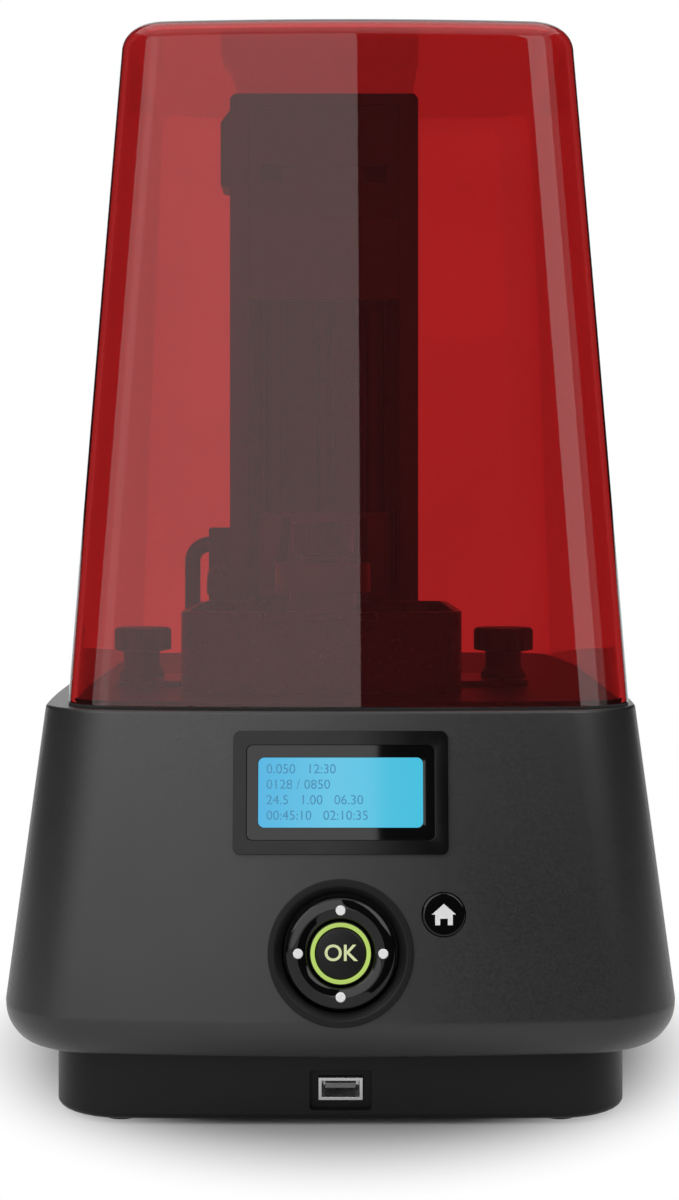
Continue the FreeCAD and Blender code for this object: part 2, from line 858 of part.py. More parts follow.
def switch_rocker():
    """Rocker with a hollowed face on the switch's pin, stored with one end down."""
    half_w = switch_w / 2 - switch_frame - slide_gap
    half_h = switch_h / 2 - switch_frame - slide_gap
    top = switch_flange_t + wall / 2
    sweep = math.radians(rocker_tilt)
    reach = half_h * math.cos(sweep) - (top + rocker_pivot) * math.sin(sweep)
    low = -rocker_pivot - stem_r
    points = [Vector(-half_w, -stem_r, low), Vector(-half_w, stem_r, low), Vector(-half_w, reach, top),
              Vector(-half_w, 0, top - wall / 2), Vector(-half_w, -reach, top)]
    rocker = Part.Face(Part.makePolygon(points + points[:1])).extrude(Vector(2 * half_w, 0, 0))
    bore = Part.makeCylinder(stem_r / 2 + running_gap, 2 * switch_w, Vector(-switch_w, 0, -rocker_pivot),
                             Vector(1, 0, 0))
    rocker = rocker.cut(bore)
    rocker.rotate(Vector(0, 0, -rocker_pivot), Vector(1, 0, 0), -rocker_tilt)
    return placed(rocker, switch_frame_at)


def fan_housing():
    """Square fan frame with a back spider that holds the rotor's pin."""
    back = fan_face - fan_t
    frame = pad(fan_size, fan_size, back, fan_face, rear_corner).cut(rod(fan_bore_r, back, fan_face))
    reach = fan_bore_r + wall / 2
    struts = [block(-reach, reach, -fan_strut_w / 2, fan_strut_w / 2, back, back + fan_back_t),
              block(-fan_strut_w / 2, fan_strut_w / 2, -reach, reach, back, back + fan_back_t),
              rod(fan_hub_r, back, back + fan_back_t)]
    cuts = [rod(screw_r + fit_gap, back, fan_face, at) for at in corners(fan_hole, fan_hole)]
    cuts.append(rod(fan_pin_r + running_gap, back, fan_face))
    return placed(joined(frame, *struts).cut(Part.makeCompound(cuts)), fan_frame)


def fan_rotor():
    """Hub with pitched blades on a pin in the housing's spider."""
    low = fan_face - fan_t + fan_back_t + slide_gap
    high = fan_face - fan_tip_gap
    mid = (low + high) / 2
    tip_r = fan_bore_r - fan_tip_gap
    blade = block(fan_hub_r - fan_blade_t, tip_r, -fan_t, fan_t, mid - fan_blade_t / 2, mid + fan_blade_t / 2)
    blade.rotate(Vector(0, 0, mid), Vector(1, 0, 0), fan_pitch)
    blade = blade.common(rod(tip_r, low + slide_gap, high - slide_gap))
    blades = []
    for step in range(fan_blades):
        turned_blade = blade.copy()
        turned_blade.rotate(Vector(0, 0, 0), Vector(0, 0, 1), 360.0 * step / fan_blades)
        blades.append(turned_blade)
    pin = rod(fan_pin_r, fan_face - fan_t + slide_gap, low + fan_blade_t)
    return placed(joined(rod(fan_hub_r, low, high), pin, *blades), fan_frame)


def fan_screws():
    """Four screws through the panel and the fan's corners."""
    sag = bow_sag(fan_hole + screw_head_r)
    profile = [(0, fan_face - fan_t), (screw_r, fan_face - fan_t), (screw_r, 0), (screw_head_r, 0),
               (screw_head_r, fan_head_t - sag), (screw_r, fan_head_t), (0, fan_head_t)]
    return group([placed(turned(profile, at), fan_frame) for at in corners(fan_hole, fan_hole)])


def knob_spots():
    return [(bay_x - knob_x, tank_y), (bay_x + knob_x, tank_y)]


def resin_tank():
    """Deep tray with a pulling lip, clamp ears and a seat for its clear floor."""
    mid = (bay_x, tank_y)
    body = pad(tank_w, tank_d, deck_z, tank_rim, tank_corner, mid)
    ears = pad(tank_w + 2 * ear_reach, ear_d, deck_z, ear_z, tank_corner, mid)
    front_y = tank_y - tank_d / 2
    lip = pad(lip_w, 2 * lip_d, tank_rim - lip_t, tank_rim, lip_d / 2, (bay_x, front_y))
    tank = joined(body, ears, lip)
    tank = tank.cut(pad(tank_w - 2 * tank_wall, tank_d - 2 * tank_wall, deck_z + tank_floor, tank_rim + wall,
                        tank_corner - tank_wall, mid))
    cuts = [pad(light_w, light_d, deck_z - wall, tank_rim, tank_corner / 2, mid),
            pad(light_w + 2 * film_seat, light_d + 2 * film_seat, deck_z + tank_floor - film_t, tank_rim,
                tank_corner / 2, mid)]
    cuts += [rod(knob_stud_r + slide_gap, deck_z - wall, ear_z + wall, at) for at in knob_spots()]
    return tank.cut(Part.makeCompound(cuts))


def tank_window():
    """Clear floor of the tank, seated in its step."""
    floor = deck_z + tank_floor
    return pad(light_w + 2 * film_seat - fit_gap, light_d + 2 * film_seat - fit_gap, floor - film_t, floor,
               tank_corner / 2, (bay_x, tank_y))


def fluted(shape, r, low, high, at):
    """Knob with finger flutes cut round its cap."""
    flutes = []
    for step in range(flute_count):
        angle = 2 * math.pi * step / flute_count
        spot = (at[0] + (r + flute_r / 2) * math.cos(angle), at[1] + (r + flute_r / 2) * math.sin(angle))
        flutes.append(rod(flute_r, low, high, spot))
    return shape.cut(Part.makeCompound(flutes))


def tank_knob(at):
    """Hold-down knob: threaded stud, flared foot, neck and fluted cap."""
    low = ear_z + fit_gap
    cap = low + knob_neck
    top = cap + knob_cap_t
    edge = knob_edge
    knob = turned([(0, rim_z - knob_stud_deep), (knob_stud_r, rim_z - knob_stud_deep), (knob_stud_r, low),
                   (knob_foot_r, low), (knob_foot_r, low + knob_foot_t), (knob_stem_r, low + 3 * knob_foot_t),
                   (knob_stem_r, cap - edge), (knob_cap_r, cap), (knob_cap_r, top - edge),
                   (knob_cap_r - edge, top), (0, top)], at)
    return fluted(knob, knob_cap_r, cap - edge, top + edge, at)


def foot_screw_spots():
    return corners(foot_screw_x, foot_screw_y, (bay_x, column_y + column_d / 2))


def column_foot():
    """Plate that spreads the column's load on the deck and locates rods and screw."""
    mid_y = column_y + column_d / 2
    foot = pad(foot_w, foot_d, deck_z, foot_z, foot_t, (bay_x, mid_y))
    cuts = [rod(rod_r + running_gap, foot_z - rod_seat, foot_z + wall, at) for at in rod_spots()]
    cuts.append(rod(bearing_r + running_gap, foot_z - bearing_t, foot_z + wall, (bay_x, axis_y)))
    cuts += [rod(screw_r + running_gap, deck_z, foot_z + wall, at) for at in foot_screw_spots()]
    return foot.cut(Part.makeCompound(cuts))


def foot_screws():
    head = foot_z + screw_head_t
    profile = [(0, rim_z), (screw_r, rim_z), (screw_r, foot_z), (screw_head_r, foot_z), (screw_head_r, head),
               (0, head)]
    return group([turned(profile, at) for at in foot_screw_spots()])


def column_frame():
    """Upright channel, open to the front, closed at the top, its upper edges cut off."""
    half_w = column_w / 2
    frame = block(bay_x - half_w, bay_x + half_w, column_y, column_back, foot_z, column_top)
    edges = [e for e in frame.Edges
             if e.BoundBox.ZMin > column_top - fit_gap and e.BoundBox.XLength < fit_gap]
    frame = frame.makeChamfer(column_chamfer, edges)
    hollow = block(bay_x - column_mouth, bay_x + column_mouth, column_y, column_back - column_wall, foot_z,
                   column_top - column_wall)
    holes = [Part.makeCylinder(screw_r, 3 * column_wall,
                               Vector(bay_x + s * rail_screw_x, column_back - 2 * column_wall, rail_screw_z),
                               Vector(0, 1, 0)) for s in (-1, 1)]
    return frame.cut(hollow).cut(Part.makeCompound(holes))


def rail_screws():
    """Two small screws in the channel's back wall."""
    screws = []
    y0 = column_back - column_wall
    for s in (-1, 1):
        spot = Vector(bay_x + s * rail_screw_x, y0, rail_screw_z)
        head = Part.makeCylinder(rail_head_r, rail_head_t, spot, Vector(0, -1, 0))
        shank = Part.makeCylinder(screw_r - running_gap, column_wall, spot, Vector(0, 1, 0))
        screws.append(joined(head, shank))
    return group(screws)


def head_cover():
    """Shroud set back in the channel's mouth before the motor, with an air slot."""
    front_y = column_y + head_set
    plate = block(bay_x - column_mouth, bay_x + column_mouth, front_y, front_y + head_t, head_bottom,
                  column_top - column_wall)
    slot_z = head_bottom + head_slot_up
    return plate.cut(block(bay_x - head_slot_w / 2, bay_x + head_slot_w / 2, column_y, column_y + column_d,
                           slot_z, slot_z + head_slot_h))


def upper_cover():
    """Plain plate that closes the channel's mouth under the head."""
    return block(bay_x - column_mouth, bay_x + column_mouth, column_y, column_y + cover_t, cover_bottom,
                 head_bottom)


def cable_cover():
    """Slim cover over the motor's wires at the left of the head, its top sloped."""
    x1 = bay_x - column_w / 2
    high = column_top - column_chamfer - cable_drop
    low = high - cable_h
    x0 = x1 - cable_w
    points = [Vector(x1, 0, low), Vector(x0, 0, low + cable_chamfer), Vector(x0, 0, high - cable_slope),
              Vector(x1, 0, high)]
    face = Part.Face(Part.makePolygon(points + points[:1]))
    face.translate(Vector(0, axis_y - cable_d / 2, 0))
    return face.extrude(Vector(0, cable_d, 0))


def motor_plate():
    """Shelf across the channel: holds the motor, the rods' tops and the screw."""
    plate = block(bay_x - column_mouth, bay_x + column_mouth, column_y + head_set + head_t,
                  column_back - column_wall, motor_plate_z, motor_plate_z + motor_plate_t)
    low = motor_plate_z - wall
    cuts = [rod(pilot_r + running_gap, low, motor_plate_z + 2 * motor_plate_t, (bay_x, axis_y))]
    cuts += [rod(rod_r + running_gap, low, motor_plate_z + rod_seat, at) for at in rod_spots()]
    return plate.cut(Part.makeCompound(cuts))


def z_motor():
    """Stepping motor that stands on its plate, its pilot ring downwards."""
    low = motor_plate_z + motor_plate_t
    body = pad(motor_size, motor_size, low, low + motor_h, motor_corner, (bay_x, axis_y))
    pilot = rod(pilot_r, low - pilot_t, low + wall, (bay_x, axis_y))
    bore = rod(lead_r + running_gap, low - 2 * pilot_t, low + lead_into_motor + fit_gap, (bay_x, axis_y))
    return joined(body, pilot).cut(bore)


def rod_spots():
    return [(bay_x - rod_x, axis_y), (bay_x + rod_x, axis_y)]


def guide_rods():
    return group([rod(rod_r, foot_z - rod_seat, motor_plate_z + rod_seat, at) for at in rod_spots()])


def screw_bearing():
    return tube(bearing_r, lead_r + running_gap, foot_z - bearing_t, foot_z, (bay_x, axis_y))


def lead_screw():
    """Lift screw from the foot's bearing up into the motor."""
    return rod(lead_r, foot_z - bearing_t + fit_gap, motor_plate_z + motor_plate_t + lead_into_motor,
               (bay_x, axis_y))


def carriage():
    """Block that slides on both rods, bored for bushes and nut."""
    top = carriage_z + carriage_h
    body = pad(carriage_w, carriage_d, carriage_z, top, motor_corner, (bay_x, axis_y))
    cuts = [rod(bush_r, carriage_z, top, at) for at in rod_spots()]
    cuts.append(rod(nut_r, carriage_z, top, (bay_x, axis_y)))
    return body.cut(Part.makeCompound(cuts))


def bushings():
    """Plain bearings at both ends of the carriage's bores."""
    top = carriage_z + carriage_h
    bushes = []
    for at in rod_spots():
        for low in (carriage_z, top - bush_length):
            bushes.append(tube(bush_r - running_gap, rod_r + running_gap, low, low + bush_length, at))
    return group(bushes)


def lead_nut():
    """Flanged nut under the carriage."""
    at = (bay_x, axis_y)
    low = carriage_z - nut_flange_t
    top = carriage_z + nut_length
    nut = joined(rod(nut_flange_r, low, carriage_z, at), rod(nut_r - running_gap, low, top, at))
    return nut.cut(rod(lead_r + 2 * running_gap, low, top, at))


def platform_arm():
    """Bracket from the carriage out over the tank, stiffened by two gussets."""
    back = carriage_front - arm_flange_t
    half_w = arm_flange_w / 2
    flange = block(bay_x - half_w, bay_x + half_w, back, carriage_front, arm_z, arm_z + arm_flange_h)
    end = rod(arm_w / 2, arm_z, arm_top, (bay_x, tank_y))
    beam = block(bay_x - arm_w / 2, bay_x + arm_w / 2, tank_y, carriage_front, arm_z, arm_top)
    gussets = []
    for x in (bay_x - arm_w / 2, bay_x + arm_w / 2 - gusset_t):
        points = [Vector(x, back, arm_top), Vector(x, back, arm_z + arm_flange_h),
                  Vector(x, back - gusset_reach, arm_top)]
        gussets.append(Part.Face(Part.makePolygon(points + points[:1])).extrude(Vector(gusset_t, 0, 0)))
    arm = joined(flange, end, beam, *gussets)
    return arm.cut(rod(clamp_stud_r + 2 * running_gap, arm_z - wall, arm_top + wall, (bay_x, tank_y)))


def build_plate():
    """Flat plate with a ribbed back and a boss for the clamp."""
    mid = (bay_x, tank_y)
    top = plate_z + plate_t
    plate = pad(plate_w, plate_d, plate_z, top, plate_corner, mid)
    boss = rod(plate_boss_r, top, arm_z, mid)
    ribs = [pad(plate_w - 2 * plate_corner, plate_rib_t, top, top + plate_rib_h, 0.0, mid),
            pad(plate_rib_t, plate_d - 2 * plate_corner, top, top + plate_rib_h, 0.0, mid)]
    plate = joined(plate, boss, *ribs)
    low = arm_z - clamp_stud_deep - fit_gap
    return plate.cut(rod(clamp_stud_r + 2 * running_gap, low, arm_z + wall, mid))


def platform_knob():
    """Fluted knob whose stud clamps the plate's boss to the arm."""
    at = (bay_x, tank_y)
    low = arm_top + fit_gap
    cap = low + clamp_neck
    top = low + clamp_knob_h
    edge = clamp_neck / 4
    knob = turned([(0, arm_z - clamp_stud_deep), (clamp_stud_r, arm_z - clamp_stud_deep), (clamp_stud_r, low),
                   (clamp_neck_r, low), (clamp_neck_r, cap - edge), (clamp_knob_r, cap),
                   (clamp_knob_r, top - edge), (clamp_knob_r - edge, top), (0, top)], at)
    return fluted(knob, clamp_knob_r, cap - edge, top + edge, at)


def bent_tube(r, bore, corner_at, start, way_in, end, way_out, bend):
    """Tube from start along way_in to a round bend at corner_at and on along way_out to end."""
    turn_in = corner_at - way_in * bend
    turn_out = corner_at + way_out * bend
    middle = turn_in + way_out * bend
    knee = middle + (corner_at - middle).normalize() * bend
    edges = [Part.LineSegment(start, turn_in).toShape(), Part.Arc(turn_in, knee, turn_out).toShape(),
             Part.LineSegment(turn_out, end).toShape()]
    path = Part.Wire(edges)

    def core(radius):
        ring = Part.Wire([Part.Circle(start, way_in, radius).toShape()])
        return path.makePipeShell([ring], True, True)

    return core(r).cut(core(bore))


def feed_x():
    return bay_x - column_w / 2


def fill_pipe():
    """Hooked pipe from the pump through the deck into the feed block."""
    face_x = pipe_x + pipe_bend + fit_gap
    foot = Vector(pipe_x, pipe_y, rim_z - pipe_deep)
    return bent_tube(pipe_r, pipe_bore, Vector(pipe_x, pipe_y, pipe_top), foot, Vector(0, 0, 1),
                     Vector(face_x + fit_gap, pipe_y, pipe_top), Vector(1, 0, 0), pipe_bend)


def fill_block():
    """Feed block on the column's left side that joins pipe and nozzle."""
    face_x = pipe_x + pipe_bend + 2 * fit_gap
    body = block(face_x, feed_x(), pipe_y - feed_d / 2, pipe_y + feed_d / 2, feed_low, feed_high)
    edges = [e for e in body.Edges if e.BoundBox.XMax < face_x + fit_gap]
    return body.makeChamfer(feed_chamfer, edges)


def fill_nozzle():
    """Nozzle from the feed block forward over the tank, bent down at its end."""
    x = (pipe_x + pipe_bend + feed_x()) / 2
    start = Vector(x, pipe_y - feed_d / 2, nozzle_z)
    return bent_tube(nozzle_r, nozzle_bore, Vector(x, nozzle_y, nozzle_z), start, Vector(0, -1, 0),
                     Vector(x, nozzle_y, nozzle_tip), Vector(0, 0, -1), nozzle_bend)


def fill_pump():
    """Pump under the deck that the pipe rises from."""
    body = pad(pump_size, pump_size, rim_z - pump_h, rim_z, motor_corner, (pump_x, pipe_y))
    root = Vector(pump_x, pipe_y - pump_size / 2 + wall, rim_z - pump_h / 2)
    head = Part.makeCylinder(pump_head_r, pump_head_t + wall, root, Vector(0, -1, 0))
    bore = rod(pipe_r + running_gap, rim_z - pipe_deep, rim_z + wall, (pipe_x, pipe_y))
    return joined(body, head).cut(bore)


def optics_frame():
    """Shelf on four legs with a sloped rest for the mirror."""
    half_w = optics_w / 2
    top = optics_z + optics_t
    shelf = block(bay_x - half_w, bay_x + half_w, optics_front, optics_rear, optics_z, top)
    mid_y = (optics_front + optics_rear) / 2
    legs = [rod(leg_r, tray_top, optics_z, at) for at in
            corners(half_w - leg_inset, (optics_rear - optics_front) / 2 - leg_inset, (bay_x, mid_y))]
    lean = mirror_l / 2 * math.sqrt(0.5)
    back = mirror_t * math.sqrt(0.5)
    x = bay_x - mirror_w / 2
    points = [Vector(x, tank_y - lean - back, top), Vector(x, tank_y - lean - back, beam_z + lean - back),
              Vector(x, tank_y + lean - back, beam_z - lean - back), Vector(x, tank_y + lean - back, top)]
    rest = Part.Face(Part.makePolygon(points + points[:1])).extrude(Vector(mirror_w, 0, 0))
    return joined(shelf, rest, *legs)


def fold_mirror():
    """Mirror at 45 degrees that turns the beam up to the window."""
    mirror = pad(mirror_w, mirror_l, -mirror_t, 0)
    mirror.rotate(Vector(0, 0, 0), Vector(1, 0, 0), -45)
    mirror.translate(Vector(bay_x, tank_y, beam_z))
    return mirror


def light_engine():
    """Projector body with cooling fins along its top."""
    low = optics_z + optics_t
    x0 = bay_x - engine_w / 2
    body = block(x0, x0 + engine_w, engine_front, engine_front + engine_l, low, low + engine_h)
    pitch = engine_w / fin_count
    gaps = [block(x0 + pitch * (step + 0.5) - fin_gap / 2, x0 + pitch * (step + 0.5) + fin_gap / 2,
                  engine_front + 2 * fin_deep, engine_front + engine_l + wall,
                  low + engine_h - fin_deep, low + engine_h + wall) for step in range(fin_count)]
    return body.cut(Part.makeCompound(gaps))


def lens_barrel():
    """Stepped lens on the front of the light engine."""
    lens = turned([(0, 0), (lens_r - wall, 0), (lens_r - wall, lens_l / 3), (lens_r, lens_l / 3),
                   (lens_r, lens_l), (lens_r - 2 * wall, lens_l), (lens_r - 2 * wall, lens_l - wall),
                   (0, lens_l - wall)])
    lens.rotate(Vector(0, 0, 0), Vector(1, 0, 0), 90)
    lens.translate(Vector(bay_x, engine_front, beam_z))
    return lens


def power_supply():
    """Mains supply on the tray's floor, slotted along its top."""
    top = tray_top + supply_h
    y0 = supply_y - supply_l / 2
    box = pad(supply_w, supply_l, tray_top, top, 0.0, (supply_x, supply_y))
    pitch = supply_l / (vent_count + 1)
    half_w = supply_w / 3
    slots = [block(supply_x - half_w, supply_x + half_w, y0 + pitch * (step + 1) - vent_w / 2,
                   y0 + pitch * (step + 1) + vent_w / 2, top - vent_deep, top + wall)
             for step in range(vent_count)]
    return box.cut(Part.makeCompound(slots))


def board_corners():
    inset = board_post_r + board_edge
    return corners(board_w / 2 - inset, board_l / 2 - inset, (board_x, board_y))


def control_board():
    """Main circuit board on the tray's posts, with chip, cooler and connectors."""
    low = tray_top + board_post
    top = low + board_t
    board = pad(board_w, board_l, low, top, screen_corner, (board_x, board_y))
    chip = board_w / 3
    chips = [pad(chip, chip, top, top + chip_h, 0.0, (board_x, board_y)),
             pad(chip / 2, chip / 2, top, top + sink_h, 0.0, (board_x, board_y + board_l / 4)),
             pad(chip, chip / 2, top, top + sink_h, 0.0, (board_x, board_y - board_l / 3))]
    return joined(board, *chips)


pieces = {
    "base_shell": base_shell, "base_tray": base_tray, "rubber_feet": rubber_feet, "tray_screws": tray_screws,
    "usb_port": usb_port, "usb_tongue": usb_tongue, "hood": hood, "hood_gasket": hood_gasket,
    "deck_plate": deck_plate, "exposure_window": exposure_window, "lcd_bezel": lcd_bezel,
    "lcd_screen": lcd_screen, "lcd_module": lcd_module, "keypad_dish": keypad_dish, "nav_gimbal": nav_gimbal,
    "nav_ring": nav_ring, "nav_dots": nav_dots, "ok_light_ring": ok_light_ring, "ok_button": ok_button,
    "home_button": home_button, "key_board": key_board, "rear_panel": rear_panel, "power_inlet": power_inlet,
    "switch_body": switch_body, "switch_rocker": switch_rocker, "fan_housing": fan_housing,
    "fan_rotor": fan_rotor, "fan_screws": fan_screws, "resin_tank": resin_tank, "tank_window": tank_window,
    "tank_knob_left": lambda: tank_knob(knob_spots()[0]),
    "tank_knob_right": lambda: tank_knob(knob_spots()[1]),
    "column_foot": column_foot, "foot_screws": foot_screws, "column_frame": column_frame,
    "rail_screws": rail_screws, "head_cover": head_cover, "upper_cover": upper_cover,
    "cable_cover": cable_cover, "motor_plate": motor_plate, "z_motor": z_motor, "guide_rods": guide_rods,
    "screw_bearing": screw_bearing,
    "lead_screw": lead_screw, "carriage": carriage, "bushings": bushings, "lead_nut": lead_nut,
    "platform_arm": platform_arm, "build_plate": build_plate, "platform_knob": platform_knob,
    "fill_pipe": fill_pipe, "fill_block": fill_block, "fill_nozzle": fill_nozzle, "fill_pump": fill_pump,
    "optics_frame": optics_frame, "fold_mirror": fold_mirror, "light_engine": light_engine,
    "lens_barrel": lens_barrel, "power_supply": power_supply, "control_board": control_board,
}

os.makedirs("parts", exist_ok=True)
for name, make in pieces.items():
    shape = make()
    shape.exportStep("parts/" + name + ".step")
    print(name, shape.ShapeType, len(shape.Solids), round(shape.Volume / 1000, 2), shape.isValid())
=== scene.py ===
"""Looks of a desktop resin printer, built around its CAD frame."""

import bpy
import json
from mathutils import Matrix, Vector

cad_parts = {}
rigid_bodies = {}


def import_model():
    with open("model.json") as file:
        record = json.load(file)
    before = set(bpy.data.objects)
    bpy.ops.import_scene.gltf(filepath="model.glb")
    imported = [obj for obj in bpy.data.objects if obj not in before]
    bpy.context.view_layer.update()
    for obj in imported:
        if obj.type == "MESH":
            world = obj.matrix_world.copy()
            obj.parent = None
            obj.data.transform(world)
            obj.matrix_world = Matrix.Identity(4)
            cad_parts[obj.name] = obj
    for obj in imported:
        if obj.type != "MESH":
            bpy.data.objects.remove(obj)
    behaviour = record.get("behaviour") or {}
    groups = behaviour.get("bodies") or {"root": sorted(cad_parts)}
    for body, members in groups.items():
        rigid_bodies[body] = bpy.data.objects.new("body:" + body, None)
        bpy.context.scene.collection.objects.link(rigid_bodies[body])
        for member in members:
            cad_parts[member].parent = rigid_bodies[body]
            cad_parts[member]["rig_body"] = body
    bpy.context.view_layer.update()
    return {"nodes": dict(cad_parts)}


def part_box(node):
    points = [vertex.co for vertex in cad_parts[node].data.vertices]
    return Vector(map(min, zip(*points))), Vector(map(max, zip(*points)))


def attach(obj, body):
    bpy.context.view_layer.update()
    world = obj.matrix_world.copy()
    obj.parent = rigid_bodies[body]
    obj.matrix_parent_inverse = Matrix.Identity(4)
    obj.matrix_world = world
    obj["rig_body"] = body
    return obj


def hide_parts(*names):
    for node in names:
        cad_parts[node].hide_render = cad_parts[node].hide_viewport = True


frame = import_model()

import json
import math

import bmesh
import bpy
from bpy.props import FloatProperty, FloatVectorProperty, PointerProperty
from mathutils import Matrix, Vector

bl_info = {
    "name": "Resin printer looks",
    "version": (1, 0, 0),
    "blender": (4, 5, 0),
    "location": "3D View > Sidebar > Printer",
    "description": "Builds the finished surfaces of a desktop resin printer around its CAD frame",
    "category": "Object",
}

MM = 0.001
LOOK = "look_"
FRONT = -1
REAR = 1
WALL_CUTS = 15
CORNER_STEPS = 8
TURN_STEPS = 72
SCREW_STEPS = 32
SETTLE_STEPS = 8  # rounds in which bowed walls and their corners settle
WELD = 0.004 * MM
FIT_GAP = 0.2 * MM  # room round a fitted piece
FLAT = math.radians(0.4)
SHARP = math.radians(32)
CAPITAL_SHARE = 0.7  # height of a capital letter in the size of the font
NOISE_LOW, NOISE_HIGH = 0.3, 0.7  # most of the noise lies between these
BRUSHED_X = (0.05, 1, 1)
BRUSHED_Z = (1, 1, 0.05)

# Turned profiles on the front wall: radius and height above the wall, in mm.
DISH_PROFILE = (
    (26.4, -0.9), (26.4, 0.8), (24.0, 0.8), (21.2, -1.6), (21.2, -9.0), (11.4, -9.0), (11.4, 0.0), (9.3, 0.0),
    (9.3, -9.0), (3.1, -9.0), (3.1, -10.5), (24.3, -10.5), (24.3, -0.9), (26.4, -0.9))
LIGHT_PROFILE = ((9.4, 0.0), (10.9, 0.0), (10.9, 1.4), (9.4, 1.4), (9.4, 0.0))
BUTTON_PROFILE = ((0.0, -3.5), (9.1, -3.5), (9.1, 0.9), (8.0, 1.45), (4.0, 1.75), (0.0, 1.8))
HOME_PROFILE = (
    (0.0, -5.0), (9.4, -5.0), (9.4, -3.6), (7.9, -3.6), (7.9, 0.25), (7.3, 0.7), (0.0, 0.9))
# Outline of the house on the home button, in mm.
HOUSE_OUTLINE = (
    (0.0, 3.9), (4.4, 0.1), (3.2, 0.1), (3.2, -3.7), (1.4, -3.7), (1.4, -1.4), (-1.4, -1.4), (-1.4, -3.7),
    (-3.2, -3.7), (-3.2, 0.1), (-4.4, 0.1))
# Tone of the display at its left and right ends, as shares of its middle.
DISPLAY_LEFT = (0.55, 0.82, 0.98)
DISPLAY_RIGHT = (0.63, 1.02, 1.00)


def length(name, description, default):
    return FloatProperty(name=name, description=description, default=default, unit="LENGTH", precision=5)


def half_size(name, description, width, height):
    return FloatVectorProperty(name=name, description=description, default=(width, height), unit="LENGTH",
                               precision=5, size=2)


def colour(name, description, default):
    return FloatVectorProperty(name=name, description=description, default=default, subtype="COLOR",
                               size=3, min=0.0, max=1.0)


class PrinterSizes(bpy.types.PropertyGroup):
    """Sizes of the surfaces that the frame doesn't give as a box."""

    wall: length("Wall", "Thickness of the moulded walls", 3.0 * MM)
    side_bow: length("Side bow", "Radius that the side walls bow to", 1500 * MM)
    front_bow: length("Front bow", "Radius that the front and back walls bow to", 800 * MM)
    base_corner: length("Base corner", "Upright corner radius of the base", 26 * MM)
    shoulder_z: length("Shoulder height", "Height of the base's widest line", 43 * MM)
    shoulder_r: length("Shoulder radius", "Radius that the shoulder turns under to", 20 * MM)
    rim_in_side: length("Side lean", "How far each side leans in at the rim", 14.5 * MM)
    rim_in_front: length("Front lean", "How far the front leans in at the rim", 12.9 * MM)
    rim_flange: length("Rim flange", "Width of the flange inside the rim", 20 * MM)
    rim_round: length("Rim round", "Radius on the rim's edge", 1.2 * MM)
    draft: length("Draft", "Fall of the flat flanges towards their openings", 0.05 * MM)
    opening_corner: length("Opening corner", "Corner radius of the openings in the base", 12 * MM)
    tray_corner: length("Tray corner", "Upright corner radius of the tray", 24 * MM)
    tray_bow: length("Tray bow", "Radius that the tray's walls bow to", 2500 * MM)
    tray_round: length("Tray round", "Radius under the tray", 2.5 * MM)
    tray_flange: length("Tray flange", "Width of the housing's floor inside the tray's outline", 18 * MM)
    boss: length("Screw boss", "Radius of the tray's screw bosses", 5.0 * MM)
    screw_hole: length("Screw hole", "Radius of the tray's screw holes", 1.95 * MM)
    screw_sink: length("Screw sink", "Radius of the recess for a screw head", 3.6 * MM)
    screw_head: length("Screw head", "Depth of a screw head", 2.4 * MM)
    hood_corner: length("Hood corner", "Upright corner radius of the hood", 18 * MM)
    hood_round: length("Hood round", "Radius round the hood's top", 10 * MM)
    hood_wall: length("Hood wall", "Thickness of the hood", 3.0 * MM)
    hood_top_half: length("Hood top", "Half width of the hood's top", 95.7 * MM)
    hood_top_front: length("Hood top front", "Front edge of the hood's top, before the middle", 79 * MM)
    hood_top_rear: length("Hood top rear", "Rear edge of the hood's top, behind the middle", 122 * MM)
    rear_hole: half_size("Rear hole", "Half sizes of the hole for the rear panel", 88 * MM, 35 * MM)
    rear_hole_corner: length("Rear hole corner", "Corner radius of the hole for the rear panel", 6 * MM)
    display_hole: half_size("Display hole", "Half sizes of the hole for the display", 36.5 * MM, 19.5 * MM)
    display_frame: half_size("Display frame", "Half sizes of the display's frame", 39.25 * MM, 22.4 * MM)
    display_panel: half_size("Display panel", "Half sizes of the panel in the frame", 34.3 * MM, 17.25 * MM)
    display_face: length("Display face", "Half height of the lit face", 12.65 * MM)
    frame_corner: length("Frame corner", "Corner radius of the display's frame and its hole", 2.6 * MM)
    panel_corner: length("Panel corner", "Corner radius of the panel and the lit face", 2.2 * MM)
    row_height: length("Row height", "Height of the figures on the display", 3.4 * MM)
    row_pitch: length("Row pitch", "Distance from row to row on the display", 5.6 * MM)
    row_margin: length("Row margin", "Distance from the lit face's left edge to the rows", 3 * MM)
    key_z: length("Keypad height", "Height of the keypad's middle", 67 * MM)
    key_hole: length("Keypad hole", "Radius of the hole for the keypad", 24.5 * MM)
    home_x: length("Home button place", "Distance of the home button from the middle", 37.4 * MM)
    home_z: length("Home button height", "Height of the home button's middle", 80.5 * MM)
    home_hole: length("Home hole", "Radius of the hole for the home button", 8.15 * MM)
    ring_inner: length("Ring inside", "Inner radius of the direction ring", 12.2 * MM)
    ring_outer: length("Ring outside", "Outer radius of the direction ring", 19.9 * MM)
    ring_back: length("Ring back", "Depth of the direction ring behind the wall", 3.8 * MM)
    ring_rim: length("Ring rim", "Height of the direction ring's rims", 0.1 * MM)
    ring_crown: length("Ring crown", "Rise of the direction ring between its rims", 1.6 * MM)
    letter_height: length("Letter height", "Height of the letters on the middle button", 5.7 * MM)
    socket_pocket: half_size("Socket pocket", "Half sizes of the socket's pocket", 11.45 * MM, 7.4 * MM)
    eased: length("Eased edges", "Width of the small rounds on machined and moulded edges", 0.35 * MM)


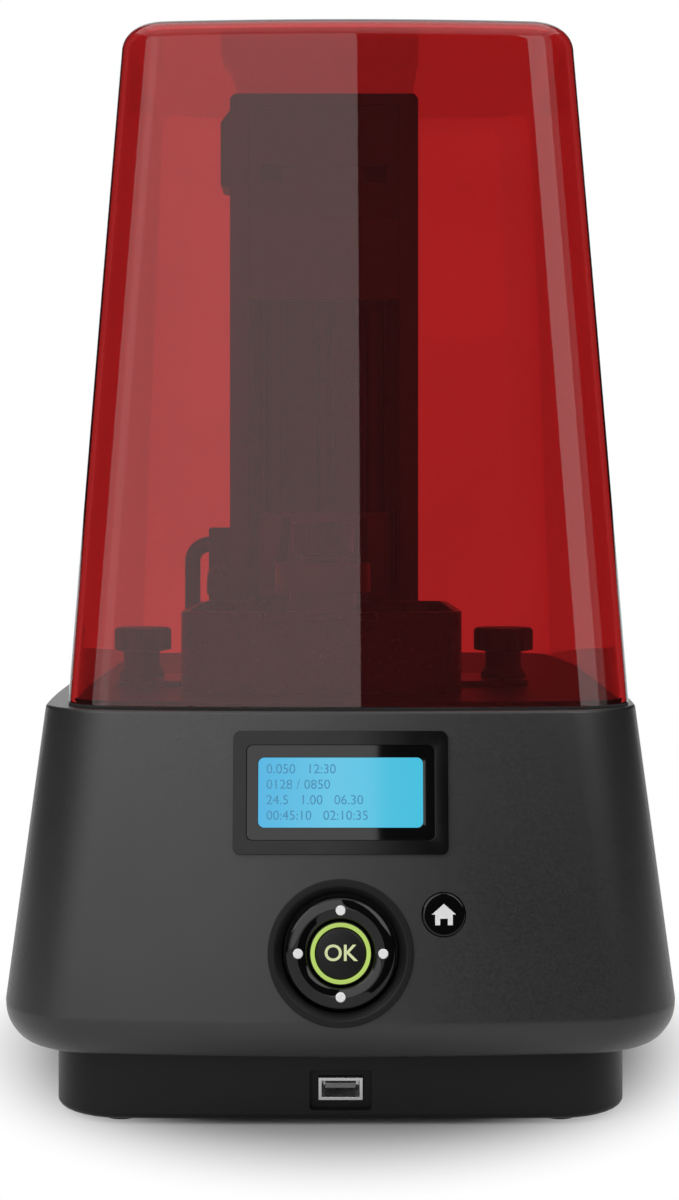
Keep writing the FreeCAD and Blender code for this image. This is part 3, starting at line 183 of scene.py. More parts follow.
class PrinterColours(bpy.types.PropertyGroup):
    """Colours of the finishes."""

    housing: colour("Housing", "Charcoal moulded housing", (0.019, 0.019, 0.0194))
    black: colour("Black plastic", "Satin black plastic", (0.006, 0.006, 0.0062))
    gloss: colour("Gloss black", "Polished black plastic", (0.004, 0.004, 0.0042))
    hood: colour("Hood", "Tint at the clear hood's surface", (0.775, 0.275, 0.285))
    hood_depth: colour("Hood depth", "Tint through the clear hood's walls", (0.80, 0.18, 0.18))
    display: colour("Display", "Middle of the lit display", (0.10, 0.54, 0.77))
    lime: colour("Light ring", "Lit ring round the middle button", (0.46, 0.65, 0.13))
    letters: colour("Letters", "Lit letters of the middle button", (0.72, 0.78, 0.42))
    white: colour("White", "White marks and dots", (0.95, 0.95, 0.95))


def sizes():
    return bpy.context.scene.printer_sizes


def colours():
    return bpy.context.scene.printer_colours


# Materials

def new_material(name):
    material = bpy.data.materials.new(LOOK + name)
    material.use_nodes = True
    tree = material.node_tree
    return material, tree.nodes, tree.links, tree.nodes["Principled BSDF"]


def noise(nodes, links, scale, detail=2.0, stretch=(1, 1, 1)):
    """Noise fixed to the piece, scale in grains per metre."""
    place = nodes.new("ShaderNodeTexCoord")
    turn = nodes.new("ShaderNodeMapping")
    turn.inputs["Scale"].default_value = stretch
    cloud = nodes.new("ShaderNodeTexNoise")
    cloud.inputs["Scale"].default_value = scale
    cloud.inputs["Detail"].default_value = detail
    links.new(place.outputs["Object"], turn.inputs["Vector"])
    links.new(turn.outputs["Vector"], cloud.inputs["Vector"])
    return cloud.outputs["Fac"]


def ramp(nodes, links, source, stops):
    tone = nodes.new("ShaderNodeValToRGB")
    marks = tone.color_ramp.elements
    while len(marks) < len(stops):
        marks.new(0.5)
    for mark, (place, shade) in zip(marks, stops):
        mark.position = place
        mark.color = (*shade, 1.0)
    links.new(source, tone.inputs["Fac"])
    return tone.outputs["Color"]


def spread_ramp(nodes, links, source, base, spread):
    """Cloudy tone: the colour, a share darker or lighter."""
    low = [channel * (1 - spread) for channel in base]
    high = [min(1.0, channel * (1 + spread)) for channel in base]
    return ramp(nodes, links, source, [(NOISE_LOW, low), (NOISE_HIGH, high)])


def ranged(nodes, links, source, low, high):
    """Noise brought to a range of values."""
    span = nodes.new("ShaderNodeMapRange")
    span.inputs["From Min"].default_value = NOISE_LOW
    span.inputs["From Max"].default_value = NOISE_HIGH
    span.inputs["To Min"].default_value = low
    span.inputs["To Max"].default_value = high
    links.new(source, span.inputs["Value"])
    return span.outputs["Result"]


def bumped(nodes, links, source, depth, strength):
    bump = nodes.new("ShaderNodeBump")
    bump.inputs["Strength"].default_value = strength
    bump.inputs["Distance"].default_value = depth
    links.new(source, bump.inputs["Height"])
    return bump.outputs["Normal"]


def grained(name, base, rough, grain, depth, metallic=0.0, spread=0.08, stretch=(1, 1, 1), specular=0.5):
    """Moulded, coated or machined finish: cloudy tone, fine grain in gloss and relief."""
    material, nodes, links, shader = new_material(name)
    slow = noise(nodes, links, scale=30.0)
    fine = noise(nodes, links, scale=1.0 / grain, detail=3.0, stretch=stretch)
    links.new(spread_ramp(nodes, links, slow, base, spread), shader.inputs["Base Color"])
    rough_low, rough_high = rough * 0.85, min(1.0, rough * 1.15)
    links.new(ranged(nodes, links, fine, rough_low, rough_high), shader.inputs["Roughness"])
    links.new(bumped(nodes, links, fine, depth, strength=0.6), shader.inputs["Normal"])
    shader.inputs["Metallic"].default_value = metallic
    shader.inputs["Specular IOR Level"].default_value = specular
    return material


def charcoal_housing():
    return grained("charcoal_housing", colours().housing, rough=0.38, grain=0.9 * MM, depth=0.02 * MM)


def black_plastic():
    return grained("black_plastic", colours().black, rough=0.42, grain=0.6 * MM, depth=0.015 * MM,
                   specular=0.18)


def gloss_black():
    return grained("gloss_black", colours().gloss, rough=0.03, grain=12 * MM, depth=0.005 * MM, specular=0.3)


def display_edge():
    return grained("display_edge", colours().gloss, rough=0.12, grain=12 * MM, depth=0.005 * MM, specular=0.2)


def grey_plastic():
    return grained("grey_plastic", (0.16, 0.16, 0.16), rough=0.4, grain=1.5 * MM, depth=0.01 * MM,
                   spread=0.03)


def smoked_tank():
    return grained("smoked_tank", (0.005, 0.0045, 0.0045), rough=0.30, grain=2 * MM, depth=0.001 * MM,
                   specular=0.2)


def rubber():
    return grained("rubber", (0.010, 0.010, 0.010), rough=0.85, grain=0.5 * MM, depth=0.03 * MM)


def steel():
    return grained("steel", (0.50, 0.50, 0.51), rough=0.28, grain=0.5 * MM, depth=0.008 * MM, metallic=1.0,
                   spread=0.06, stretch=BRUSHED_Z)


def dark_metal():
    return grained("dark_metal", (0.017, 0.017, 0.0175), rough=0.55, grain=0.8 * MM, depth=0.03 * MM,
                   specular=0.2)


# Steel darkened almost to black: painted shade for the steel parts in the dim space under the hood.
def steel_in_painted_shade():
    return grained("steel_in_painted_shade", (0.012, 0.012, 0.0125), rough=0.34, grain=0.5 * MM, depth=0.008 * MM,
                   metallic=1.0, spread=0.06, stretch=BRUSHED_Z)


# Base colour near black: painted shade on the aluminium parts, which are silver, standing in the dim space
# under the hood and inside the base.
def aluminium():
    return grained("aluminium", (0.040, 0.040, 0.042), rough=0.40, grain=0.4 * MM, depth=0.002 * MM,
                   metallic=1.0, spread=0.06, stretch=BRUSHED_X)


def bronze():
    return grained("bronze", (0.060, 0.036, 0.016), rough=0.35, grain=0.6 * MM, depth=0.01 * MM, metallic=1.0)


def white_plastic():
    return grained("white_plastic", colours().white, rough=0.35, grain=1.5 * MM, depth=0.01 * MM, spread=0.03)


def mirror():
    return grained("mirror", (0.88, 0.89, 0.90), rough=0.02, grain=20 * MM, depth=0.002 * MM, metallic=1.0,
                   spread=0.02)


def clear(name, base, rough, spread, ior, clarity=1.0):
    """See-through finish with a faint cloudy tone."""
    material, nodes, links, shader = new_material(name)
    slow = noise(nodes, links, scale=14.0)
    links.new(spread_ramp(nodes, links, slow, base, spread), shader.inputs["Base Color"])
    links.new(ranged(nodes, links, slow, low=rough * 0.6, high=rough * 1.4), shader.inputs["Roughness"])
    shader.inputs["Transmission Weight"].default_value = clarity
    shader.inputs["IOR"].default_value = ior
    return material


def red_hood():
    """Tinted at its surface and through its depth, so a wall seen edge on is deeper red."""
    material = clear("red_hood", colours().hood, rough=0.0, spread=0.03, ior=1.34, clarity=0.985)
    nodes, links = material.node_tree.nodes, material.node_tree.links
    depth = nodes.new("ShaderNodeVolumeAbsorption")
    depth.inputs["Color"].default_value = (*colours().hood_depth, 1)
    depth.inputs["Density"].default_value = 400.0
    links.new(depth.outputs["Volume"], nodes["Material Output"].inputs["Volume"])
    return material


def clear_glass():
    return clear("clear_glass", (0.90, 0.93, 0.93), rough=0.01, spread=0.02, ior=1.49)


def circuit_board():
    """Solder mask with fine tracks."""
    material, nodes, links, shader = new_material("circuit_board")
    place = nodes.new("ShaderNodeTexCoord")
    tracks = nodes.new("ShaderNodeTexBrick")
    tracks.inputs["Scale"].default_value = 90.0
    tracks.inputs["Mortar Size"].default_value = 0.05
    tracks.inputs["Color1"].default_value = (0.010, 0.075, 0.030, 1)
    tracks.inputs["Color2"].default_value = (0.012, 0.090, 0.036, 1)
    tracks.inputs["Mortar"].default_value = (0.030, 0.160, 0.070, 1)
    links.new(place.outputs["Object"], tracks.inputs["Vector"])
    links.new(tracks.outputs["Color"], shader.inputs["Base Color"])
    fine = noise(nodes, links, scale=900.0)
    links.new(ranged(nodes, links, fine, low=0.30, high=0.45), shader.inputs["Roughness"])
    return material


def lit(name, stops, low, high, strength, axis="X"):
    """Lit face whose colour runs along one axis of the object, from low to high."""
    material, nodes, links, shader = new_material(name)
    place = nodes.new("ShaderNodeTexCoord")
    parts = nodes.new("ShaderNodeSeparateXYZ")
    links.new(place.outputs["Object"], parts.inputs["Vector"])
    span = nodes.new("ShaderNodeMapRange")
    span.inputs["From Min"].default_value = low
    span.inputs["From Max"].default_value = high
    links.new(parts.outputs[axis], span.inputs["Value"])
    tone = ramp(nodes, links, span.outputs["Result"], stops)
    links.new(tone, shader.inputs["Emission Color"])
    shader.inputs["Emission Strength"].default_value = strength
    shader.inputs["Base Color"].default_value = (0.01, 0.01, 0.01, 1)
    shader.inputs["Specular IOR Level"].default_value = 0.25
    fine = noise(nodes, links, scale=1500.0)
    links.new(ranged(nodes, links, fine, low=0.05, high=0.08), shader.inputs["Roughness"])
    return material


def lcd_blue():
    low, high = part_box("lcd_screen")
    middle = colours().display
    left = [channel * share for channel, share in zip(middle, DISPLAY_LEFT)]
    right = [channel * share for channel, share in zip(middle, DISPLAY_RIGHT)]
    stops = [(0.0, left), (0.45, middle), (1.0, right)]
    return lit("lcd_blue", stops, low.x, high.x, strength=0.95)


def lime_light():
    low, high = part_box("ok_light_ring")
    lime = colours().lime
    pale = [min(1.0, channel * 1.12) for channel in lime]
    stops = [(0.0, lime), (0.5, pale), (1.0, lime)]
    return lit("lime_light", stops, low.z, high.z, strength=0.9, axis="Z")


def lit_letters():
    low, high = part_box("ok_button")
    letters = colours().letters
    dim = [channel * 0.85 for channel in letters]
    return lit("lit_letters", [(0.0, dim), (1.0, letters)], low.x, high.x, strength=0.9)


def display_ink():
    return grained("display_ink", (0.060, 0.33, 0.58), rough=0.4, grain=0.5 * MM, depth=0.002 * MM)


MAKERS = {maker.__name__: maker for maker in (
    charcoal_housing, black_plastic, gloss_black, display_edge, grey_plastic, smoked_tank, rubber, steel,
    steel_in_painted_shade, dark_metal, aluminium, bronze, white_plastic, mirror, red_hood, clear_glass, circuit_board,
    lcd_blue, lime_light, lit_letters, display_ink)}


def finish(name):
    """Material of a finish, made at its first use."""
    return bpy.data.materials.get(LOOK + name) or MAKERS[name]()


# Mesh helpers

def sag(reach, bow):
    """How far a wall of that bow falls back at a distance from its middle."""
    return bow - math.sqrt(bow * bow - reach * reach)


def round_loop(bm, half, corner, z, mid=(0.0, 0.0), bows=None):
    """Closed loop of edges at height z: four walls, bowed if bows are given, joined by round corners."""
    flat = Vector(half)
    if bows:
        for _ in range(SETTLE_STEPS):
            flat.x = half[0] - sag(flat.y, bows[0])
            flat.y = half[1] - sag(flat.x, bows[1])
    kept = set(bm.edges)
    grid = bmesh.ops.create_grid(bm, x_segments=1, y_segments=1, size=1.0)
    bmesh.ops.scale(bm, vec=(flat.x, flat.y, 1.0), verts=grid["verts"])
    bmesh.ops.bevel(bm, geom=grid["verts"], offset=corner, offset_type="OFFSET", segments=CORNER_STEPS,
                    profile=0.5, affect="VERTICES", material=-1)
    edges = [edge for edge in bm.edges if edge not in kept]
    shortest_run = min(2 * corner, flat.x, flat.y)
    runs = [edge for edge in edges if edge.calc_length() > shortest_run]
    bmesh.ops.subdivide_edges(bm, edges=runs, cuts=WALL_CUTS)
    edges = [edge for edge in bm.edges if edge not in kept]
    points = {vert for edge in edges for vert in edge.verts}
    faces = {face for edge in edges for face in edge.link_faces}
    bmesh.ops.delete(bm, geom=list(faces), context="FACES_ONLY")
    for vert in points:
        x, y = vert.co.x, vert.co.y
        if bows:
            x += vert.co.x / flat.x * (sag(flat.y, bows[0]) - sag(vert.co.y, bows[0]))
            y += vert.co.y / flat.y * (sag(flat.x, bows[1]) - sag(vert.co.x, bows[1]))
        vert.co = (x + mid[0], y + mid[1], z)
    return edges


def skinned(bm, loops, closed=False, cap_first=False, cap_last=False):
    """Joins neighbouring loops by walls, closes them in a ring or caps the ends."""
    pairs = list(zip(loops, loops[1:]))
    if closed:
        pairs.append((loops[-1], loops[0]))
    for first, second in pairs:
        bmesh.ops.bridge_loops(bm, edges=first + second)
    for loop, capped in ((loops[0], cap_first), (loops[-1], cap_last)):
        if capped:
            bmesh.ops.edgeloop_fill(bm, edges=loop)
    bmesh.ops.recalc_face_normals(bm, faces=bm.faces)
    return bm


def walled(bm, thickness):
    """Gives an open skin its wall, inwards."""
    bmesh.ops.solidify(bm, geom=bm.faces[:], thickness=thickness)
    return bm


def slab(half, corner, low, high):
    """Closed rounded block between two heights."""
    bm = bmesh.new()
    loops = [round_loop(bm, half, corner, z) for z in (low, high)]
    return skinned(bm, loops, cap_first=True, cap_last=True)


def in_mm(points):
    return [(first * MM, second * MM) for first, second in points]


def turned(profile, steps=TURN_STEPS):
    """Form turned about the local Z axis from (radius, height) points."""
    bm = bmesh.new()
    verts = [bm.verts.new((radius, 0, height)) for radius, height in profile]
    edges = [bm.edges.new(pair) for pair in zip(verts, verts[1:])]
    bmesh.ops.spin(bm, geom=verts + edges, cent=(0, 0, 0), axis=(0, 0, 1), angle=2 * math.pi, steps=steps,
                   use_merge=True)
    bmesh.ops.remove_doubles(bm, verts=bm.verts, dist=WELD)
    bmesh.ops.recalc_face_normals(bm, faces=bm.faces)
    return bm


def rod(radius, low, high, steps=TURN_STEPS):
    """Closed cylinder about the local Z axis."""
    return turned([(0, low), (radius, low), (radius, high), (0, high)], steps)


def eased(bm, width, steps=2, below=None):
    """Rounds the sharp edges, or only those below a height."""
    edges = [edge for edge in bm.edges if len(edge.link_faces) == 2 and edge.calc_face_angle() > SHARP
             and (below is None or max(vert.co.z for vert in edge.verts) < below)]
    bmesh.ops.bevel(bm, geom=edges, offset=width, offset_type="OFFSET", segments=steps, profile=0.5,
                    affect="EDGES", clamp_overlap=True, material=-1)
    return bm


def moved(bm, matrix):
    bmesh.ops.transform(bm, matrix=matrix, verts=bm.verts)
    return bm


def merged(*forms):
    """One bmesh that holds several forms side by side."""
    whole = bmesh.new()
    for form in forms:
        mesh = bpy.data.meshes.new("form")
        form.to_mesh(mesh)
        form.free()
        whole.from_mesh(mesh)
        bpy.data.meshes.remove(mesh)
    return whole


def loose_object(bm, name):
    mesh = bpy.data.meshes.new(name)
    bm.to_mesh(mesh)
    bm.free()
    thing = bpy.data.objects.new(name, mesh)
    bpy.context.scene.collection.objects.link(thing)
    return thing


def meshed(thing):
    """bmesh of an object as its modifiers or letters leave it; the object goes."""
    bpy.context.view_layer.update()
    ready = thing.evaluated_get(bpy.context.evaluated_depsgraph_get())
    mesh = bpy.data.meshes.new_from_object(ready)
    bm = bmesh.new()
    bm.from_mesh(mesh)
    bpy.data.meshes.remove(mesh)
    bpy.data.objects.remove(thing)
    return bm


def carved(bm, *tools, operation="DIFFERENCE"):
    """Cuts closed forms out of a closed form, or joins them to it."""
    body = loose_object(bm, "body")
    tool = loose_object(merged(*tools), "tool")
    cut = body.modifiers.new("cut", "BOOLEAN")
    cut.operation = operation
    cut.solver = "EXACT"
    cut.object = tool
    result = meshed(body)
    bpy.data.objects.remove(tool)
    return result


def body_of(node):
    return frame["nodes"][node]["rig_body"]


def publish(bm, name, slot, *nodes, body=None, look=None, ease=None):
    """Finished piece that rides on its nodes' body, stands for them and takes a finish."""
    piece = loose_object(bm, name)
    piece.data.materials.append(finish(look or slot))
    piece.data.shade_smooth()
    piece.data.set_sharp_from_angle(angle=SHARP)
    if ease:
        bevel = piece.modifiers.new("eased edges", "BEVEL")
        bevel.width = ease
        bevel.segments = 2
        bevel.limit_method = "ANGLE"
        bevel.angle_limit = SHARP
        bevel.harden_normals = True
    else:
        piece.modifiers.new("flat faces stay flat", "WEIGHTED_NORMAL").keep_sharp = True
    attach(piece, body or body_of(nodes[0]))
    if nodes:
        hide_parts(*nodes)


def softened(slot, *nodes, width=None, look=None):
    """Finished pieces in the shapes of CAD nodes, with their edges eased."""
    for node in nodes:
        bm = bmesh.new()
        bm.from_mesh(frame["nodes"][node].data)
        bmesh.ops.remove_doubles(bm, verts=bm.verts, dist=WELD)
        bmesh.ops.dissolve_limit(bm, angle_limit=FLAT, verts=bm.verts, edges=bm.edges)
        publish(bm, node + "_finish", slot, node, look=look, ease=width or sizes().eased)


def wall_place(x, z, side):
    """Frame on the leaning front or back wall: local Z outwards, local Y up the wall."""
    s = sizes()
    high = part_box("base_shell")[1]
    lean = s.rim_in_front / (high.z - s.shoulder_z)
    fall = sag(x, s.front_bow)
    origin = Vector((x, side * (high.y - lean * (z - s.shoulder_z) - fall), z))
    out = Vector((x / (s.front_bow - fall), side, lean)).normalized()
    up = Vector((0, -side * lean, 1)).normalized()
    over = up.cross(out)
    turn = Matrix((over, up, out)).transposed().to_4x4()
    return Matrix.Translation(origin) @ turn


def lettering(text, height, thick, depth):
    """Flat letters round the local origin, thickened outwards."""
    curve = bpy.data.curves.new("letters", "FONT")
    curve.body = text
    curve.size = height / CAPITAL_SHARE
    curve.align_x = "CENTER"
    curve.align_y = "CENTER"
    curve.extrude = depth / 2
    curve.offset = thick
    curve.resolution_u = 6
    thing = bpy.data.objects.new("letters", curve)
    bpy.context.scene.collection.objects.link(thing)
    bm = meshed(thing)
    bpy.data.curves.remove(curve)
    return bm


# Pieces

def base_half(z):
    """Half width and half depth of the base at height z."""
    s = sizes()
    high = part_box("base_shell")[1]
    if z < s.shoulder_z:
        inset = sag(s.shoulder_z - z, s.shoulder_r)
        return high.x - inset, high.y - inset
    share = (z - s.shoulder_z) / (high.z - s.shoulder_z)
    return high.x - s.rim_in_side * share, high.y - s.rim_in_front * share


class PRINTER_OT_housing(bpy.types.Operator):
    """Moulds the base housing and the tray under it"""

    bl_idname = "printer.housing"
    bl_label = "Housing"

    def execute(self, context):
        self.shell()
        self.tray()
        softened("rubber", "rubber_feet", width=0.5 * MM)
        softened("steel", "tray_screws")
        return {"FINISHED"}

    def shell(self):
        """Bowed and leaning walls with a flange at the rim and the foot."""
        s = sizes()
        low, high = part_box("base_shell")
        bows = (s.side_bow, s.front_bow)
        bm = bmesh.new()

        def ring(half, corner, z):
            return round_loop(bm, half, corner, z, bows=bows)

        tray_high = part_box("base_tray")[1]
        mouth = (tray_high.x - s.tray_flange, tray_high.y - s.tray_flange)
        rim_half = base_half(high.z)
        opening = (rim_half[0] - s.rim_flange, rim_half[1] - s.rim_flange)
        under, above = 8, 6
        heights = [low.z + (s.shoulder_z - low.z) * step / under for step in range(under + 1)]
        heights += [s.shoulder_z + (high.z - s.shoulder_z) * step / above for step in range(1, above + 1)]
        loops = [ring(mouth, s.opening_corner, low.z + s.draft)]
        loops += [ring(base_half(z), s.base_corner, z) for z in heights]
        loops.append(ring(opening, s.opening_corner, high.z - s.draft))
        eased(walled(skinned(bm, loops), s.wall), s.rim_round, steps=3)
        publish(carved(bm, *self.holes()), "base_housing", "charcoal_housing", "base_shell")

    def holes(self):
        """Closed forms to cut for the display, the rear panel, the keypad, the home button and the screws."""
        s = sizes()
        reach = 6 * s.wall
        made = []
        for node, side, half, corner in (
                ("lcd_screen", FRONT, s.display_hole, s.frame_corner),
                ("rear_panel", REAR, s.rear_hole, s.rear_hole_corner)):
            low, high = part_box(node)
            place = wall_place(0.0, (low.z + high.z) / 2, side)
            made.append(moved(slab(half, corner, -reach, reach), place))
        for place, radius in ((key_place(), s.key_hole), (home_place(), s.home_hole)):
            made.append(moved(rod(radius, -reach, reach), place))
        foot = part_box("base_shell")[0].z
        return made + self.uprights(s.screw_hole, foot - s.wall, foot + 2 * s.wall)

    def uprights(self, radius, low, high):
        """Closed upright cylinders at the places of the tray's four screws."""
        near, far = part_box("tray_screws")
        head = sizes().screw_sink - FIT_GAP
        return [moved(rod(radius, low, high, SCREW_STEPS), Matrix.Translation((x, y, 0.0)))
                for x in (near.x + head, far.x - head) for y in (near.y + head, far.y - head)]

    def tray(self):
        """Plinth with its screw bosses and the pocket for the socket."""
        s = sizes()
        low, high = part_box("base_tray")
        bows = (s.tray_bow, s.tray_bow)
        bm = bmesh.new()
        loops = [round_loop(bm, (high.x, high.y), s.tray_corner, z, bows=bows) for z in (low.z, high.z)]
        walled(skinned(bm, loops, cap_first=True), s.wall)
        eased(bm, s.tray_round, steps=5, below=low.z + s.tray_round)
        block, mouth, slot = self.socket()
        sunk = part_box("tray_screws")[0].z
        posts = self.uprights(s.boss, low.z + s.wall / 2, high.z)
        bores = self.uprights(s.screw_hole, low.z, high.z + s.wall)
        sinks = self.uprights(s.screw_sink, sunk - s.wall, sunk + s.screw_head)
        bm = carved(bm, block, *posts, operation="UNION")
        bm = carved(carved(bm, mouth, *bores), slot, *sinks)
        publish(bm, "plinth", "black_plastic", "base_tray")

    def socket(self):
        """Block behind the tray's front wall, the pocket in it and the slot that holds the socket."""
        s = sizes()
        low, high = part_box("usb_port")
        wall_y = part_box("base_tray")[0].y
        turn = Matrix.Translation((0, wall_y, (low.z + high.z) / 2)) @ Matrix.Rotation(math.pi / 2, 4, "X")
        pocket, pocket_corner, pocket_depth = s.socket_pocket, 1.2 * MM, 4 * MM
        block_front, block_back, block_lip = 1.5 * MM, 7 * MM, 1 * MM
        slot_corner, slot_depth = 0.6 * MM, 22 * MM
        behind = (pocket[0] + s.wall, pocket[1] + block_lip)
        shell = ((high.x - low.x) / 2 + FIT_GAP, (high.z - low.z) / 2 + FIT_GAP)
        return [moved(form, turn) for form in (
            slab(behind, pocket_corner, -block_back, -block_front),
            slab(pocket, pocket_corner, -pocket_depth, pocket_depth),
            slab(shell, slot_corner, -slot_depth, 0.0))]


class PRINTER_OT_hood(bpy.types.Operator):
    """Forms the see-through hood and its gasket"""

    bl_idname = "printer.hood"
    bl_label = "Hood"

    def execute(self, context):
        bm = bmesh.new()
        skinned(bm, self.loops(bm), cap_last=True)
        walled(bm, sizes().hood_wall)
        publish(bm, "hood_shell", "red_hood", "hood")
        softened("rubber", "hood_gasket", width=0.2 * MM)
        return {"FINISHED"}

    def loops(self, bm):
        """Loops from the foot up and over the round top edge."""
        s = sizes()
        low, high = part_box("hood")
        bows = (s.side_bow, s.front_bow)
        shift = (low.x + high.x) / 2

        def ring(z, inset):
            share = (z - low.z) / (high.z - low.z)
            half_w = (high.x - low.x) / 2 * (1 - share) + s.hood_top_half * share
            half_d = (high.y - low.y) / 2 * (1 - share) + (s.hood_top_front + s.hood_top_rear) / 2 * share
            mid = (shift, share * (s.hood_top_rear - s.hood_top_front) / 2)
            return round_loop(bm, (half_w - inset, half_d - inset), s.hood_corner - inset, z, mid, bows)

        straight = high.z - s.hood_round
        levels = 8
        made = [ring(low.z + (straight - low.z) * step / levels, 0.0) for step in range(levels)]
        steps = 8
        for step in range(steps + 1):
            angle = math.pi / 2 * step / steps
            made.append(ring(straight + s.hood_round * math.sin(angle), s.hood_round * (1 - math.cos(angle))))
        return made


class PRINTER_OT_display(bpy.types.Operator):
    """Makes the display's gloss frame, its lit screen and the rows on it"""

    bl_idname = "printer.display"
    bl_label = "Display"

    rows = ("0.050   12:30", "0128 / 0850", "24.5   1.00   06.30", "00:45:10   02:10:35")

    def execute(self, context):
        s = sizes()
        low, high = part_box("lcd_screen")
        bezel_low, bezel_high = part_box("lcd_bezel")
        place = wall_place(0.0, (bezel_low.z + bezel_high.z) / 2, FRONT)
        face = ((high.x - low.x) / 2, s.display_face)
        back, face_back = -1.5 * MM, -2.6 * MM
        frame_z, panel_z, face_z = 0.8 * MM, 0.4 * MM, 0.2 * MM
        border = self.window(s.display_frame, s.frame_corner, s.display_panel, s.panel_corner, back, frame_z)
        publish(moved(border, place), "display_border", "gloss_black", "lcd_bezel", look="display_edge")
        panel = self.window(s.display_panel, s.panel_corner, face, s.panel_corner, back, panel_z)
        publish(moved(panel, place), "display_panel", "gloss_black", body="base")
        screen = slab(face, s.panel_corner, face_back, face_z)
        publish(moved(screen, place), "display_screen", "lcd_blue", "lcd_screen")
        figures = self.figures(-face[0] + s.row_margin, face_z)
        publish(moved(figures, place), "display_rows", "lcd_blue", body="base", look="display_ink")
        softened("circuit_board", "lcd_module")
        return {"FINISHED"}

    def figures(self, start, face_z):
        """Rows of figures as a thin film on the lit face, all from one left edge."""
        s = sizes()
        film = 0.02 * MM
        middle = (len(self.rows) - 1) / 2
        forms = []
        for number, row in enumerate(self.rows):
            form = lettering(row, s.row_height, thick=0.0, depth=film)
            left = min(vert.co.x for vert in form.verts)
            spot = Vector((start - left, (middle - number) * s.row_pitch, face_z + film / 2))
            forms.append(moved(form, Matrix.Translation(spot)))
        return merged(*forms)

    def window(self, outer, outer_corner, inner, inner_corner, low, high):
        """Flat frame between two rounded outlines, its edges eased."""
        bm = bmesh.new()
        fall = sizes().draft
        plan = ((outer, outer_corner, low), (outer, outer_corner, high), (inner, inner_corner, high - fall),
                (inner, inner_corner, low + fall))
        skinned(bm, [round_loop(bm, half, corner, z) for half, corner, z in plan], closed=True)
        return eased(bm, width=0.2 * MM)


def key_place():
    return wall_place(0.0, sizes().key_z, FRONT)


def home_place():
    return wall_place(sizes().home_x, sizes().home_z, FRONT)


class PRINTER_OT_keypad(bpy.types.Operator):
    """Turns the dish, ring, buttons and marks of the keypad"""

    bl_idname = "printer.keypad"
    bl_label = "Keypad"

    def execute(self, context):
        place = key_place()
        dish = eased(turned(in_mm(DISH_PROFILE)), width=0.35 * MM, steps=3)
        publish(moved(dish, place), "keypad_cup", "black_plastic", "keypad_dish")
        publish(moved(self.ring(), place), "direction_ring", "gloss_black", "nav_ring")
        light = eased(turned(in_mm(LIGHT_PROFILE)), width=0.4 * MM, steps=4)
        publish(moved(light, place), "button_light", "lime_light", "ok_light_ring")
        cap = eased(turned(in_mm(BUTTON_PROFILE)), width=0.4 * MM, steps=3)
        publish(moved(cap, place), "middle_button", "black_plastic", "ok_button")
        letters = lettering("OK", sizes().letter_height, thick=0.1 * MM, depth=0.12 * MM)
        lift = Matrix.Translation((0, 0, 1.78 * MM))
        publish(moved(moved(letters, lift), place), "middle_button_letters", "lime_light", body="ok_button",
                look="lit_letters")
        softened("white_plastic", "nav_dots", width=0.25 * MM)
        softened("black_plastic", "nav_gimbal")
        self.home()
        softened("circuit_board", "key_board")
        return {"FINISHED"}

    def ring(self):
        """Direction ring, crowned between its two rims."""
        s = sizes()
        inner, outer, back = s.ring_inner, s.ring_outer, -s.ring_back
        middle, half = (inner + outer) / 2, (outer - inner) / 2
        steps = 16
        angles = [math.pi * step / steps for step in range(steps + 1)]
        crest = [(middle + half * math.cos(angle), s.ring_rim + s.ring_crown * math.sin(angle))
                 for angle in angles]
        return turned([(inner, back), (outer, back), *crest, (inner, back)])

    def home(self):
        """Home button and the house on it, sunk a little into its crown."""
        place = home_place()
        cap = eased(turned(in_mm(HOME_PROFILE)), width=0.3 * MM, steps=3)
        publish(moved(cap, place), "home_key", "gloss_black", "home_button")
        foot, rise = 0.8 * MM, 0.15 * MM
        bm = bmesh.new()
        face = bm.faces.new([bm.verts.new((x, y, foot)) for x, y in in_mm(HOUSE_OUTLINE)])
        raised = bmesh.ops.extrude_face_region(bm, geom=[face])
        verts = [item for item in raised["geom"] if isinstance(item, bmesh.types.BMVert)]
        bmesh.ops.translate(bm, vec=(0, 0, rise), verts=verts)
        bmesh.ops.recalc_face_normals(bm, faces=bm.faces)
        publish(moved(bm, place), "home_key_sign", "white_plastic", body="home_button")


class PRINTER_OT_fittings(bpy.types.Operator):
    """Finishes the pieces that keep their CAD shapes"""

    bl_idname = "printer.fittings"
    bl_label = "Fittings"

    def execute(self, context):
        softened("steel", "usb_port", width=0.15 * MM)
        softened("white_plastic", "usb_tongue", look="grey_plastic")
        softened("charcoal_housing", "rear_panel", look="black_plastic")
        softened("gloss_black", "switch_rocker")
        softened("black_plastic", "power_inlet", "switch_body", "fan_housing", "fan_rotor", "deck_plate",
                 "head_cover", "cable_cover", "fill_pump", "tank_knob_left", "tank_knob_right",
                 "platform_knob", "fill_block")
        softened("black_plastic", "upper_cover", look="dark_metal")
        softened("steel", "fan_screws", "foot_screws", "screw_bearing")
        # The near black steel look on these parts is painted shade under the hood.
        softened("steel", "fill_pipe", "fill_nozzle", "rail_screws", look="steel_in_painted_shade")
        softened("dark_metal", "column_foot", "column_frame", "motor_plate", "optics_frame", "light_engine",
                 "power_supply", "z_motor")
        # Near black steel look: painted shade on the rods and lead screw under the hood.
        softened("dark_metal", "guide_rods", "lead_screw", look="steel_in_painted_shade")
        softened("smoked_tank", "resin_tank", width=0.6 * MM)
        # The near black colour of the aluminium look is painted shade; these parts are silver.
        softened("aluminium", "carriage", "platform_arm", "build_plate", "lens_barrel")
        softened("bronze", "bushings", "lead_nut")
        softened("clear_glass", "exposure_window", "tank_window")
        softened("mirror", "fold_mirror")
        softened("circuit_board", "control_board")
        return {"FINISHED"}


